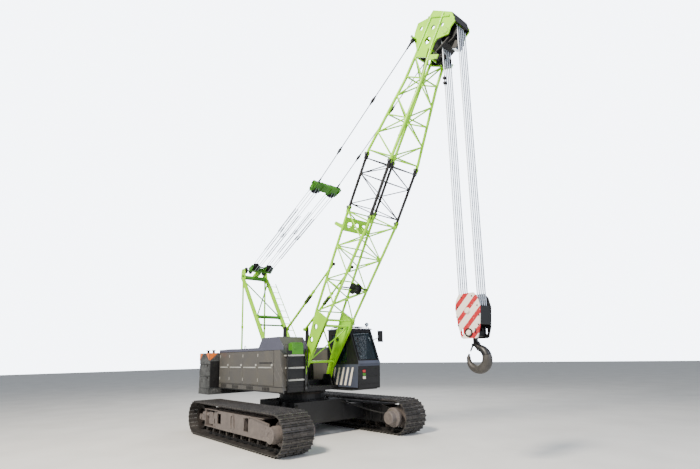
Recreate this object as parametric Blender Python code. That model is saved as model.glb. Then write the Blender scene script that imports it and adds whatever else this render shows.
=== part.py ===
"""Crawler crane with a lattice boom: one object per sub-part, at its real size.

Blender 4.5, metres, +Z up, +X the way the boom points, Y to the crane's left. Every shape is given in the
crane's own frame, whose origin is on the ground under the slewing axis. The empty "crane" then moves the
whole machine so that the middle of its footprint box lies at the world origin.
"""

import math

import bmesh
import bpy
from mathutils import Matrix, Vector

# ---------------------------------------------------------------- driving dimensions
GAP = 0.0003  # between pieces that touch
RUN_GAP = 0.006  # between pieces that move past each other
PIN_GAP = 0.003  # beside a lug, along its pin
PIN_SIDES = 20

# Undercarriage
TRACK_CENTRE = 2.21  # slewing axis to the middle of a track
SHOE_WIDTH = 0.93
TRACK_HEIGHT = 1.10
WHEEL_FRONT_X = 2.57
WHEEL_REAR_X = -2.51
SHOE_PITCH = 0.20
CHAIN_DEPTH = 0.15  # from grouser tip to the face that runs on the wheels
GROUSER_DEPTH = 0.035
WHEEL_SIDES = 24
WHEEL_WIDTH = 0.40
FRAME_OUTER = 0.39  # track middle to the frame's outer plate
FRAME_BOTTOM = 0.34
FRAME_TOP = 0.89
FRAME_REAR_X = -1.86
FRAME_FRONT_X = 2.05
ROLLER_COUNT = 9
CARBODY_BOTTOM = 0.42
CARBODY_TOP = 1.12
CARBODY_HALF_LENGTH = 1.05
RING_RADIUS = 0.75

# Revolving deck
DECK_BOTTOM = 1.42
DECK_TOP = 1.72
DECK_REAR_X = -3.52
DECK_HALF_WIDTH = 0.64
DECK_FRONT_X = 1.15
WING_TOP = 1.50

# Machinery houses
HOUSE_HALF_WIDTH = 1.54
HOUSE_INNER = 0.66
HOUSE_REAR_X = -3.15
HOUSE_FRONT_X = 1.27
HOUSE_LEFT_FRONT_X = 0.56
HOUSE_TOP = 2.80
COWL_TOP = 3.10
SHEET = 0.03  # wall of a house and of its doors
DOOR_BOTTOM = 1.62
DOOR_TOP = 2.70
STEP_HEIGHTS = (1.80, 2.16, 2.53)
DOOR_SEAMS_X = (-3.10, -2.33, -1.31, -0.28, 0.72)

# Counterweight
WEIGHT_REAR_X = -4.15
WEIGHT_FRONT_X = -3.24
WEIGHT_HALF_WIDTH = 1.90
WEIGHT_BOTTOM = 1.20
WEIGHT_TOP = 2.72
WEIGHT_BASE_TOP = 1.41
WEIGHT_SLABS = 3

# Cab
CAB_INNER = 0.66
CAB_OUTER = 1.62
CAB_REAR_X = 0.62
CAB_FLOOR = 1.45
CAB_SILL = 2.30
CAB_ROOF = 3.36
CAB_FRONT_X = 2.14
CAB_BROW_X = 1.74
CAB_WALL = 0.05
GLASS = 0.012

# Gantry over the winches
GANTRY_HALF_WIDTH = 0.55
GANTRY_FOOT_X = -0.72
GANTRY_TOP_X = -3.45
GANTRY_TOP_Z = 5.78
GANTRY_LEG = 0.07
LINK_Y = 0.50
LINK_RADIUS = 0.035

# Boom, measured along it from the foot pin
BOOM_ANGLE = math.radians(58.52)
FOOT_X = 0.777
FOOT_Z = 1.792
BOOM_HALF_WIDTH = 0.53
BOOM_HALF_DEPTH = 0.52
JOINT_1 = 5.58
JOINT_2 = 7.20
TAPER_START = 7.32
TAPER_END = 9.40
HEAD_START = 10.15
HEAD_HALF_WIDTH = 0.31
CHORD = 0.042
LACING = 0.021
FOOT_PIN = 0.05
HEAD_SHEAVE_T = 10.65
HEAD_SHEAVE_D = 0.635
PENDANT_T = 10.44
PENDANT_D = -0.36

# Hoist rope, hook block and hook
ROPE = 0.011
FALL_SPACING = 0.08
FALL_COUNT = 5
SHEAVE_PITCH_RADIUS = 0.24
BLOCK_AXLE_Z = 3.42
BLOCK_TOP = 3.82
BLOCK_BOTTOM = 2.80
CROSSHEAD_TOP = 3.04
BLOCK_HALF_LENGTH = 0.33
BLOCK_HALF_WIDTH = 0.235
CHEEK = 0.035
HOOK_RADIUS = 0.24
HOOK_CENTRE_Z = 2.36
LATCH_WIDTH = 0.03

# Luffing gear
LUFF_PIVOT_X = -3.10
LUFF_PIVOT_Z = 5.93
SPREADER_X = 1.28
SPREADER_Z = 8.06
LUFF_SHEAVE = 0.15
LUFF_PIN = 0.025
PENDANT_PIN_RADIUS = 0.025
LUFF_ROPES_Y = (-0.34, -0.24, 0.24, 0.34)
LUFF_SHIFT_Y = 0.05
PENDANT_Y = 0.40
PENDANT_ROPE = 0.016

# Backstops
STOP_Y = 0.38
STOP_FOOT_X = -0.35
STOP_FOOT_Z = 3.45
STOP_EYE_T = 3.76
STOP_TUBE = 0.06
STOP_ROD = 0.032
STOP_PIN = 0.022
STOP_TUBE_LENGTH = 1.95

HOOK_X = FOOT_X + HEAD_SHEAVE_T * math.cos(BOOM_ANGLE) + HEAD_SHEAVE_D * math.sin(BOOM_ANGLE)

# ---------------------------------------------------------------- scene, materials, pivots
for stale in list(bpy.data.objects):
    bpy.data.objects.remove(stale)
parts = bpy.data.collections.new("crawler_crane")
bench = bpy.data.collections.new("bench")
for group in (parts, bench):
    bpy.context.scene.collection.children.link(group)


def finish(name, colour, roughness, metallic=0.0):
    material = bpy.data.materials.new(name)
    material.use_nodes = True
    shader = material.node_tree.nodes["Principled BSDF"]
    shader.inputs["Base Color"].default_value = (*colour, 1)
    shader.inputs["Roughness"].default_value = roughness
    shader.inputs["Metallic"].default_value = metallic
    return material


LIME = finish("lime_paint", (0.42, 0.72, 0.03), 0.35)
BLACK = finish("black_paint", (0.02, 0.02, 0.025), 0.4)
GREY = finish("grey_paint", (0.10, 0.10, 0.10), 0.45)
STEEL = finish("track_steel", (0.11, 0.10, 0.09), 0.6, 0.6)
IRON = finish("cast_iron", (0.08, 0.08, 0.08), 0.7)
WIRE = finish("wire_rope", (0.50, 0.54, 0.60), 0.4, 0.8)
CLEAR = finish("tinted_glass", (0.02, 0.05, 0.06), 0.05)
CREAM = finish("block_paint", (0.75, 0.70, 0.65), 0.4)
CLOTH = finish("seat_cloth", (0.04, 0.04, 0.05), 0.9)


def pivot(name, place, parent=None):
    """An empty on a joint's axis. Its children's meshes stay in the crane's frame."""
    empty = bpy.data.objects.new(name, None)
    parts.objects.link(empty)
    empty.parent = parent
    empty["place"] = place
    above = Vector(parent["place"]) if parent else Vector((0, 0, 0))
    empty.location = Vector(place) - above
    return empty


def boom_point(t, y, d):
    """The crane-frame point t along the boom, y to the left and d towards its front face."""
    along = Vector((math.cos(BOOM_ANGLE), 0, math.sin(BOOM_ANGLE)))
    front = Vector((math.sin(BOOM_ANGLE), 0, -math.cos(BOOM_ANGLE)))
    return Vector((FOOT_X, y, FOOT_Z)) + along * t + front * d


LUFF_ANGLE = math.atan2(SPREADER_Z - LUFF_PIVOT_Z, SPREADER_X - LUFF_PIVOT_X)


def rope_point(s, y, n):
    """The point s along the luffing ropes from their pivot, y to the left and n above them."""
    along = Vector((math.cos(LUFF_ANGLE), 0, math.sin(LUFF_ANGLE)))
    above = Vector((-math.sin(LUFF_ANGLE), 0, math.cos(LUFF_ANGLE)))
    return Vector((LUFF_PIVOT_X, y, LUFF_PIVOT_Z)) + along * s + above * n


crane = bpy.data.objects.new("crane", None)
crane["place"] = (0, 0, 0)
parts.objects.link(crane)
HEAD = boom_point(HEAD_SHEAVE_T, 0, HEAD_SHEAVE_D)
PENDANT_PIN = boom_point(PENDANT_T, 0, PENDANT_D)
slew = pivot("slew_pivot", (0, 0, DECK_BOTTOM), crane)
luff = pivot("luff_pivot", (FOOT_X, 0, FOOT_Z), slew)
falls = pivot("falls_pivot", tuple(HEAD), luff)
block = pivot("block_pivot", (HOOK_X, 0, BLOCK_BOTTOM), falls)
reeving = pivot("reeving_pivot", (LUFF_PIVOT_X, 0, LUFF_PIVOT_Z), slew)
pendants = pivot("pendants_pivot", tuple(PENDANT_PIN), luff)


# ---------------------------------------------------------------- shapes
def raw(mesh_maker):
    """A mesh object on the bench, made by a function that fills a bmesh."""
    bm = bmesh.new()
    mesh_maker(bm)
    mesh = bpy.data.meshes.new("shape")
    bm.to_mesh(mesh)
    bm.free()
    obj = bpy.data.objects.new("shape", mesh)
    bench.objects.link(obj)
    return obj


def box(low, high):
    size = [b - a for a, b in zip(low, high)]
    middle = [(a + b) / 2 for a, b in zip(low, high)]
    matrix = Matrix.Translation(middle) @ Matrix.Diagonal((*size, 1))
    return raw(lambda bm: bmesh.ops.create_cube(bm, size=1, matrix=matrix))


def side_box(side, x, y, z):
    """A box whose y limits are distances from the middle plane, on the left (1) or the right (-1)."""
    low, high = sorted((side * y[0], side * y[1]))
    return box((x[0], low, z[0]), (x[1], high, z[1]))


def rod(start, end, radius, sides=8, radius_end=None, turn=0.0):
    start, end = Vector(start), Vector(end)
    axis = end - start
    matrix = Matrix.Translation((start + end) / 2) @ axis.to_track_quat("Z", "Y").to_matrix().to_4x4()
    matrix = matrix @ Matrix.Rotation(turn, 4, "Z")
    top = radius if radius_end is None else radius_end
    return raw(
        lambda bm: bmesh.ops.create_cone(
            bm, cap_ends=True, segments=sides, radius1=radius, radius2=top, depth=axis.length, matrix=matrix
        )
    )


def bore(radius):
    """The radius of a hole whose flats clear a round pin's corners by the gap, both with PIN_SIDES sides."""
    return radius / math.cos(math.pi / PIN_SIDES) + GAP


def from_curve(curve, matrix):
    """The mesh of a curve, with its caps welded on, in place of the curve object."""
    holder = bpy.data.objects.new("curve", curve)
    bench.objects.link(holder)
    bpy.context.view_layer.update()
    graph = bpy.context.evaluated_depsgraph_get()
    mesh = bpy.data.meshes.new_from_object(holder.evaluated_get(graph))
    bpy.data.objects.remove(holder)
    bm = bmesh.new()
    bm.from_mesh(mesh)
    bmesh.ops.remove_doubles(bm, verts=bm.verts, dist=1e-5)
    bmesh.ops.transform(bm, matrix=matrix, verts=bm.verts)
    bmesh.ops.recalc_face_normals(bm, faces=bm.faces)
    bm.to_mesh(mesh)
    bm.free()
    obj = bpy.data.objects.new("shape", mesh)
    bench.objects.link(obj)
    return obj


def plate(outlines, thickness, matrix):
    """A flat outline with its holes, given as lists of 2D points, extruded to a thickness."""
    curve = bpy.data.curves.new("outline", "CURVE")
    curve.dimensions = "2D"
    curve.fill_mode = "BOTH"
    curve.extrude = thickness / 2
    for points in outlines:
        spline = curve.splines.new("POLY")
        spline.points.add(len(points) - 1)
        for slot, (a, b) in zip(spline.points, points):
            slot.co = (a, b, 0, 1)
        spline.use_cyclic_u = True
    return from_curve(curve, matrix)


def upright(outlines, y, thickness):
    """A plate in the XZ plane whose middle is at y."""
    matrix = Matrix.Translation((0, y, 0)) @ Matrix.Rotation(math.pi / 2, 4, "X")
    return plate(outlines, thickness, matrix)


def boom_plate(outlines, y, thickness):
    """A plate along the boom, its outline given as (t, d) pairs."""
    return upright([[tuple(boom_point(t, 0, d).xz) for t, d in points] for points in outlines], y, thickness)


def ring(centre, radius, count=12, start=0.0):
    """The points of a circle, for a hole or a round end."""
    steps = [start + math.tau * i / count for i in range(count)]
    return [(centre[0] + radius * math.cos(a), centre[1] + radius * math.sin(a)) for a in steps]


def tube(points, radius, resolution=1, radii=None):
    curve = bpy.data.curves.new("tube", "CURVE")
    curve.dimensions = "3D"
    curve.bevel_depth = radius
    curve.bevel_resolution = resolution
    curve.use_fill_caps = True
    spline = curve.splines.new("POLY")
    spline.points.add(len(points) - 1)
    for i, point in enumerate(points):
        spline.points[i].co = (*point, 1)
        spline.points[i].radius = radii[i] if radii else 1.0
    return from_curve(curve, Matrix.Identity(4))


def solid(name, material, parent, shapes, holes=()):
    """One closed body: the union of the shapes, less the holes, hung under a pivot."""
    base = shapes[0]
    for operation, tools in (("UNION", shapes[1:]), ("DIFFERENCE", holes)):
        if not tools:
            continue
        group = bpy.data.collections.new("tools")
        for tool in tools:
            group.objects.link(tool)
        step = base.modifiers.new(operation, "BOOLEAN")
        step.operation = operation
        step.solver = "EXACT"
        step.operand_type = "COLLECTION"
        step.collection = group
    bpy.context.view_layer.update()
    mesh = bpy.data.meshes.new_from_object(base.evaluated_get(bpy.context.evaluated_depsgraph_get()))
    for tool in (*shapes, *holes):
        bpy.data.objects.remove(tool)
    mesh.materials.clear()
    mesh.materials.append(material)
    obj = bpy.data.objects.new(name, mesh)
    parts.objects.link(obj)
    obj.parent = parent
    obj.location = -Vector(parent["place"])
    return obj


SIDES = (("R", -1), ("L", 1))

# ---------------------------------------------------------------- undercarriage
WHEEL_Z = TRACK_HEIGHT / 2
INNER_RADIUS = WHEEL_Z - CHAIN_DEPTH


def stadium(distance, depth):
    """The point at a distance round the track, and that deep inside its grouser tips."""
    radius = WHEEL_Z - depth
    straight = WHEEL_FRONT_X - WHEEL_REAR_X
    around = distance % (2 * straight + math.tau * WHEEL_Z)
    if around < straight:
        return (WHEEL_REAR_X + around, WHEEL_Z - radius)
    around -= straight
    if around < math.pi * WHEEL_Z:
        angle = -math.pi / 2 + around / WHEEL_Z
        return (WHEEL_FRONT_X + radius * math.cos(angle), WHEEL_Z + radius * math.sin(angle))
    around -= math.pi * WHEEL_Z
    if around < straight:
        return (WHEEL_FRONT_X - around, WHEEL_Z + radius)
    angle = math.pi / 2 + (around - straight) / WHEEL_Z
    return (WHEEL_REAR_X + radius * math.cos(angle), WHEEL_Z + radius * math.sin(angle))


def track_loop(side):
    """One closed loop with every shoe and its grouser in the outline."""
    length = 2 * (WHEEL_FRONT_X - WHEEL_REAR_X) + math.tau * WHEEL_Z
    shoes = round(length / SHOE_PITCH)
    pitch = length / shoes
    outer = []
    for shoe in range(shoes):
        for share, depth in ((0.30, GROUSER_DEPTH), (0.40, 0), (0.55, 0), (0.65, GROUSER_DEPTH)):
            outer.append(stadium((shoe + share) * pitch, depth))
    half = WHEEL_SIDES // 2
    inner = []
    for centre, start in ((WHEEL_FRONT_X, -math.pi / 2), (WHEEL_REAR_X, math.pi / 2)):
        for i in range(half + 1):
            angle = start + math.pi * i / half
            inner.append((centre + INNER_RADIUS * math.cos(angle), WHEEL_Z + INNER_RADIUS * math.sin(angle)))
    return upright([outer, inner], side * TRACK_CENTRE, SHOE_WIDTH)


def wheel(x, y, width, radius, sides=WHEEL_SIDES):
    """A round piece across the track whose first corner lies straight above its axis."""
    return upright([ring((x, WHEEL_Z), radius, sides, math.pi / 2)], y, width)


FRAME_INNER_Y = TRACK_CENTRE - FRAME_OUTER
FRAME_OUTER_Y = TRACK_CENTRE + FRAME_OUTER
FRAME_PLATE = 0.08
YOKE_GAP = WHEEL_WIDTH / 2 + 0.03
YOKE_END_X = WHEEL_REAR_X - 0.12
MOTOR_RADIUS = 0.30
MOTOR_INNER_Y = 1.46
HUB_RADIUS = 0.22
HUB_OUTER_Y = TRACK_CENTRE + SHOE_WIDTH / 2 + 0.10


def track_frame(name, side):
    plate_y = (FRAME_OUTER_Y - FRAME_PLATE, FRAME_OUTER_Y)
    inner_y = (FRAME_INNER_Y, FRAME_INNER_Y + FRAME_PLATE)
    yokes = ((TRACK_CENTRE - YOKE_GAP - FRAME_PLATE, TRACK_CENTRE - YOKE_GAP),
             (TRACK_CENTRE + YOKE_GAP, TRACK_CENTRE + YOKE_GAP + FRAME_PLATE))
    shapes = [side_box(side, (FRAME_REAR_X, FRAME_FRONT_X), (FRAME_INNER_Y, FRAME_OUTER_Y), (FRAME_BOTTOM, FRAME_TOP))]
    for y in yokes:
        shapes.append(side_box(side, (YOKE_END_X, FRAME_REAR_X + 0.1), y, (WHEEL_Z - 0.11, WHEEL_Z + 0.11)))
    nose = [(FRAME_FRONT_X - 0.1, FRAME_BOTTOM), (WHEEL_FRONT_X - 0.27, FRAME_BOTTOM), (WHEEL_FRONT_X - 0.27, 0.80),
            (FRAME_FRONT_X - 0.1, FRAME_TOP)]
    shapes.append(upright([nose], side * sum(plate_y) / 2, FRAME_PLATE))
    seat = [(FRAME_FRONT_X - 0.1, FRAME_BOTTOM), (WHEEL_FRONT_X + 0.2, FRAME_BOTTOM), (WHEEL_FRONT_X + 0.2, 0.76),
            (FRAME_FRONT_X - 0.1, 0.76)]
    shapes.append(upright([seat], side * sum(inner_y) / 2, FRAME_PLATE))
    holes = [side_box(side, x, (FRAME_OUTER_Y - 0.25, FRAME_OUTER_Y + 0.1), z)
             for x, z in (((-0.86, -0.60), (0.50, 0.80)), ((0.88, 1.16), (0.46, 0.82)))]
    return solid(name, STEEL, crane, shapes + lower_rollers(side), holes)


def lower_rollers(side):
    """The row of bottom rollers on their rail under the frame."""
    bottom = CHAIN_DEPTH + GAP
    radius = (FRAME_BOTTOM - bottom) / 2
    first, last = FRAME_REAR_X + 0.15, FRAME_FRONT_X + 0.05
    shapes = [side_box(side, (first - 0.12, last + 0.12), (TRACK_CENTRE - 0.30, TRACK_CENTRE + 0.30),
                       (bottom + radius, FRAME_BOTTOM + 0.02))]
    for i in range(ROLLER_COUNT):
        x = first + (last - first) * i / (ROLLER_COUNT - 1)
        ends = [(x, side * (TRACK_CENTRE + end * 0.34), bottom + radius) for end in (-1, 1)]
        shapes.append(rod(*ends, radius, 8, turn=math.pi / 8))
    return shapes


for tag, side in SIDES:
    solid(f"track_{tag}", STEEL, crane, [track_loop(side)])
    track_frame(f"track_frame_{tag}", side)
    rim = INNER_RADIUS - 2 * GAP
    middle = side * TRACK_CENTRE
    axle = 2 * (YOKE_GAP - GAP)
    solid(f"idler_{tag}", STEEL, crane,
          [wheel(WHEEL_REAR_X, middle, WHEEL_WIDTH, rim), wheel(WHEEL_REAR_X, middle, axle, 0.08, 12)])
    hub_y = (FRAME_INNER_Y + FRAME_PLATE + GAP, HUB_OUTER_Y)
    solid(f"drive_sprocket_{tag}", STEEL, crane,
          [wheel(WHEEL_FRONT_X, middle, WHEEL_WIDTH, rim),
           wheel(WHEEL_FRONT_X, side * sum(hub_y) / 2, hub_y[1] - hub_y[0], HUB_RADIUS)])
    solid(f"travel_motor_{tag}", STEEL, crane,
          [wheel(WHEEL_FRONT_X, side * (FRAME_INNER_Y - GAP + 1.66) / 2, FRAME_INNER_Y - GAP - 1.66, MOTOR_RADIUS),
           wheel(WHEEL_FRONT_X, side * (1.70 + MOTOR_INNER_Y) / 2, 1.70 - MOTOR_INNER_Y, 0.20)])

BEAM_END = FRAME_INNER_Y - GAP
beams = [box((x - 0.30, -BEAM_END, CARBODY_BOTTOM), (x + 0.30, BEAM_END, 0.90)) for x in (-0.74, 0.74)]
core = box((-CARBODY_HALF_LENGTH, -1.0, CARBODY_BOTTOM + 0.03), (CARBODY_HALF_LENGTH, 1.0, CARBODY_TOP - 0.02))
drum = rod((0, 0, CARBODY_BOTTOM + 0.01), (0, 0, CARBODY_TOP), 0.92, 24)
solid("carbody", BLACK, crane, [core, drum, *beams])
solid("slew_ring", BLACK, crane, [rod((0, 0, CARBODY_TOP + GAP), (0, 0, DECK_BOTTOM - GAP), RING_RADIUS, 32)])

# ---------------------------------------------------------------- revolving deck and gantry
EAR = 0.05
FOOT_LUG = 0.06
FOOT_INNER = BOOM_HALF_WIDTH - FOOT_LUG / 2
FOOT_OUTER = BOOM_HALF_WIDTH + FOOT_LUG / 2
STOP_EYE = 2 * STOP_TUBE + 0.01


def deck():
    shapes = [
        box((DECK_REAR_X, -DECK_HALF_WIDTH, DECK_BOTTOM), (0.42, DECK_HALF_WIDTH, DECK_TOP)),
        box((0.30, -DECK_HALF_WIDTH, DECK_BOTTOM + 0.01), (DECK_FRONT_X, DECK_HALF_WIDTH, 1.56)),
        box((HOUSE_REAR_X + 0.02, -HOUSE_HALF_WIDTH + SHEET + GAP, DECK_BOTTOM + 0.02),
            (HOUSE_FRONT_X - SHEET - GAP, -0.5, WING_TOP)),
        box((HOUSE_REAR_X + 0.02, 0.5, DECK_BOTTOM + 0.02),
            (0.60, HOUSE_HALF_WIDTH - SHEET - GAP, WING_TOP)),
        box((HOUSE_LEFT_FRONT_X + 0.01, 0.45, DECK_BOTTOM), (CAB_FRONT_X - 0.10, CAB_OUTER - 0.06, CAB_FLOOR - GAP)),
    ]
    ear = [(0.45, 1.5), (1.10, 1.5), (FOOT_X + 0.15, FOOT_Z + 0.12), (FOOT_X - 0.15, FOOT_Z + 0.12)]
    for side in (-1, 1):
        for y in (FOOT_INNER - PIN_GAP - EAR / 2, FOOT_OUTER + PIN_GAP + EAR / 2):
            shapes.append(upright([ear], side * y, EAR))
        pin = [(FOOT_X, side * (FOOT_INNER - 0.04), FOOT_Z), (FOOT_X, side * (FOOT_OUTER + 0.04), FOOT_Z)]
        shapes.append(rod(*pin, FOOT_PIN, PIN_SIDES))
        post = [(-0.58, DECK_TOP - 0.05), (-0.12, DECK_TOP - 0.05), (STOP_FOOT_X + 0.07, STOP_FOOT_Z + 0.07),
                (STOP_FOOT_X - 0.07, STOP_FOOT_Z + 0.07)]
        post_y = STOP_Y + STOP_EYE / 2 + PIN_GAP + 0.02
        shapes.append(upright([post], side * post_y, 0.04))
        shapes.append(rod((STOP_FOOT_X, side * post_y, STOP_FOOT_Z),
                          (STOP_FOOT_X, side * (STOP_Y - STOP_EYE / 2), STOP_FOOT_Z), STOP_PIN, PIN_SIDES))
    for x, radius in ((HOIST_DRUM_X, DRUM_AXLE), (LUFF_DRUM_X, DRUM_AXLE)):
        for side in (-1, 1):
            bearing = [(x - 0.16, DECK_TOP - 0.05), (x + 0.16, DECK_TOP - 0.05), (x + 0.1, DRUM_Z + 0.1),
                       (x - 0.1, DRUM_Z + 0.1)]
            shapes.append(upright([bearing], side * DRUM_BEARING_Y, 0.05))
    holes = [rod((x, -0.6, DRUM_Z), (x, 0.6, DRUM_Z), bore(DRUM_AXLE), PIN_SIDES) for x in (HOIST_DRUM_X, LUFF_DRUM_X)]
    return solid("revolving_deck", BLACK, slew, shapes, holes)


HOIST_DRUM_X = -1.15
LUFF_DRUM_X = -2.35
DRUM_Z = 2.16
DRUM_AXLE = 0.05
DRUM_BEARING_Y = 0.46
deck()


def winch_drum(name, x):
    turn = pivot(f"{name}_pivot", (x, 0, DRUM_Z), slew)
    inner = DRUM_BEARING_Y - 0.05 / 2 - RUN_GAP
    shapes = [rod((x, -inner + 0.02, DRUM_Z), (x, inner - 0.02, DRUM_Z), 0.26, 20),
              rod((x, -DRUM_BEARING_Y - 0.02, DRUM_Z), (x, DRUM_BEARING_Y + 0.02, DRUM_Z), DRUM_AXLE, PIN_SIDES)]
    for side in (-1, 1):
        shapes.append(rod((x, side * inner, DRUM_Z), (x, side * (inner - 0.03), DRUM_Z), 0.38, 20))
    return solid(name, WIRE, turn, shapes)


winch_drum("hoist_drum", HOIST_DRUM_X)
winch_drum("luff_drum", LUFF_DRUM_X)

LUG_HALF = 0.04


def gantry():
    shapes = []
    for side in (-1, 1):
        y = side * GANTRY_HALF_WIDTH
        foot = (GANTRY_FOOT_X, y, DECK_TOP + 0.05)
        shapes.append(box((GANTRY_FOOT_X - 0.14, y - 0.08, DECK_TOP + GAP), (GANTRY_FOOT_X + 0.10, y + 0.08, DECK_TOP + 0.07)))
        shapes.append(rod(foot, (GANTRY_TOP_X, y, GANTRY_TOP_Z), GANTRY_LEG, 6))
        head = [(GANTRY_TOP_X - 0.18, GANTRY_TOP_Z - 0.14), (GANTRY_TOP_X + 0.16, GANTRY_TOP_Z - 0.14),
                (GANTRY_TOP_X + 0.10, GANTRY_TOP_Z + 0.30), (GANTRY_TOP_X - 0.10, GANTRY_TOP_Z + 0.30)]
        shapes.append(upright([head], side * LINK_Y, 0.05))
        lug = [(GANTRY_TOP_X, GANTRY_TOP_Z - 0.06), (LUFF_PIVOT_X + 0.06, LUFF_PIVOT_Z - 0.07),
               (LUFF_PIVOT_X + 0.06, LUFF_PIVOT_Z + 0.06), (LUFF_PIVOT_X - 0.06, LUFF_PIVOT_Z + 0.06),
               (GANTRY_TOP_X, GANTRY_TOP_Z + 0.06)]
        shapes.append(upright([lug], side * (LUG_HALF + PIN_GAP + 0.02), 0.04))
    slope = (GANTRY_TOP_X - GANTRY_FOOT_X) / (GANTRY_TOP_Z - DECK_TOP)
    for z, radius in ((3.70, 0.03), (4.03, 0.06), (GANTRY_TOP_Z, 0.085)):
        x = GANTRY_FOOT_X + slope * (z - DECK_TOP)
        shapes.append(rod((x, -GANTRY_HALF_WIDTH, z), (x, GANTRY_HALF_WIDTH, z), radius, 8))
    pin_y = LUG_HALF + PIN_GAP + 0.03
    shapes.append(rod((LUFF_PIVOT_X, -pin_y, LUFF_PIVOT_Z), (LUFF_PIVOT_X, pin_y, LUFF_PIVOT_Z), LUFF_PIN, PIN_SIDES))
    return solid("gantry_frame", LIME, slew, shapes)


gantry()
for tag, side in SIDES:
    y = side * LINK_Y
    top = (GANTRY_TOP_X, y, GANTRY_TOP_Z - 0.14 - GAP)
    solid(f"gantry_link_{tag}", LIME, slew, [rod((GANTRY_TOP_X, y, DECK_TOP + GAP), top, LINK_RADIUS, 8)])
sheave_x, sheave_z = GANTRY_TOP_X + 0.03, GANTRY_TOP_Z + 0.24
reach = LINK_Y - 0.025 - GAP
sheaves = [rod((sheave_x, -reach, sheave_z), (sheave_x, reach, sheave_z), 0.03, 12)]
for y in (-0.40, -0.20, 0.20, 0.40):
    sheaves.append(rod((sheave_x, y - 0.02, sheave_z), (sheave_x, y + 0.02, sheave_z), 0.13, 16))
solid("gantry_sheaves", IRON, slew, sheaves)

# ---------------------------------------------------------------- houses, engine, counterweight
def house(name, side, front_x, doors, cowl):
    """A sheet-metal cover: outer shell less its inside, open at the bottom, with door openings."""
    def outline(inset):
        roof = HOUSE_TOP - inset
        points = [(HOUSE_REAR_X + inset, roof)]
        if cowl:
            points += [(-0.22 + inset, roof), (0.02 + inset * 0.5, COWL_TOP - inset), (1.0 - inset, COWL_TOP - inset)]
        else:
            points += [(front_x - inset, roof)]
        return points + [(front_x - inset, DECK_BOTTOM)]

    outer = outline(0) + [(HOUSE_REAR_X, DECK_BOTTOM)]
    inner = outline(SHEET)
    inner[-1] = (inner[-1][0], DECK_BOTTOM - 0.1)
    inner.append((HOUSE_REAR_X + SHEET, DECK_BOTTOM - 0.1))
    middle = side * (HOUSE_INNER + HOUSE_HALF_WIDTH) / 2
    width = HOUSE_HALF_WIDTH - HOUSE_INNER
    shapes = [upright([outer], middle, width)]
    holes = [upright([inner], middle, width - 2 * SHEET)]
    if cowl:
        for z in STEP_HEIGHTS:
            shapes.append(box((HOUSE_FRONT_X - 0.22, -1.38, z - 0.02), (HOUSE_FRONT_X + 0.06, -0.85, z + 0.02)))
    holes.append(side_box(side, (HOUSE_REAR_X - 0.1, HOUSE_FRONT_X + 0.1), (0.4, HOUSE_HALF_WIDTH - SHEET),
                          (DECK_BOTTOM - 0.1, WING_TOP + GAP)))
    for rear, front in doors:
        holes.append(side_box(side, (rear + RUN_GAP, front - RUN_GAP), (HOUSE_HALF_WIDTH - 0.1, HOUSE_HALF_WIDTH + 0.1),
                              (DOOR_BOTTOM, DOOR_TOP)))
    return solid(name, GREY, slew, shapes, holes)


def house_door(name, side, rear, front):
    """A flush door hinged on its rear edge, on the outer face."""
    y = side * HOUSE_HALF_WIDTH
    hinge_x = rear + RUN_GAP + GAP
    turn = pivot(f"{name}_pivot", (hinge_x, y, DOOR_BOTTOM), slew)
    leaf = side_box(side, (hinge_x, front - 2 * RUN_GAP), (HOUSE_HALF_WIDTH - SHEET, HOUSE_HALF_WIDTH),
                    (DOOR_BOTTOM + RUN_GAP, DOOR_TOP - RUN_GAP))
    grip = side_box(side, (front - 0.22, front - 0.06), (HOUSE_HALF_WIDTH - 0.01, HOUSE_HALF_WIDTH + 0.015),
                    (2.20, 2.26))
    return solid(name, GREY, turn, [leaf, grip])


RIGHT_BAYS = list(zip(DOOR_SEAMS_X, DOOR_SEAMS_X[1:]))
LEFT_BAYS = RIGHT_BAYS[1:3]
house("house_R", -1, HOUSE_FRONT_X, RIGHT_BAYS, True)
house("house_L", 1, HOUSE_LEFT_FRONT_X, LEFT_BAYS, False)
for tag, side, bays in (("R", -1, RIGHT_BAYS), ("L", 1, LEFT_BAYS)):
    for number, (rear, front) in enumerate(bays, 1):
        house_door(f"house_door_{tag}{number}", side, rear, front)
solid("engine_block", IRON, slew, [box((-2.7, -1.36, WING_TOP + GAP), (-0.9, -0.84, 2.45))])

weight_y = (DECK_HALF_WIDTH + 0.02, WEIGHT_HALF_WIDTH)
solid("counterweight_base", IRON, slew,
      [box((WEIGHT_REAR_X, -WEIGHT_HALF_WIDTH, WEIGHT_BOTTOM), (WEIGHT_FRONT_X, WEIGHT_HALF_WIDTH, WEIGHT_BASE_TOP)),
       box((WEIGHT_REAR_X + 0.02, -0.7, WEIGHT_BASE_TOP - 0.05), (DECK_REAR_X - GAP, 0.7, 2.40))])
slab = (WEIGHT_TOP - WEIGHT_BASE_TOP) / WEIGHT_SLABS
for tag, side in SIDES:
    shapes = []
    for i in range(WEIGHT_SLABS):
        bottom = WEIGHT_BASE_TOP + GAP + slab * i
        inset = 0.0 if i < WEIGHT_SLABS - 1 else 0.01
        shapes.append(side_box(side, (WEIGHT_REAR_X + inset, WEIGHT_FRONT_X - inset),
                               (0.70 + GAP, WEIGHT_HALF_WIDTH - inset), (bottom, bottom + slab - 0.012)))
    core_x = (WEIGHT_REAR_X + 0.05, WEIGHT_FRONT_X - 0.05)
    shapes.append(side_box(side, core_x, (0.75, WEIGHT_HALF_WIDTH - 0.05),
                           (WEIGHT_BASE_TOP + 0.02, WEIGHT_TOP - 0.02)))
    solid(f"counterweight_stack_{tag}", IRON, slew, shapes)

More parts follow.
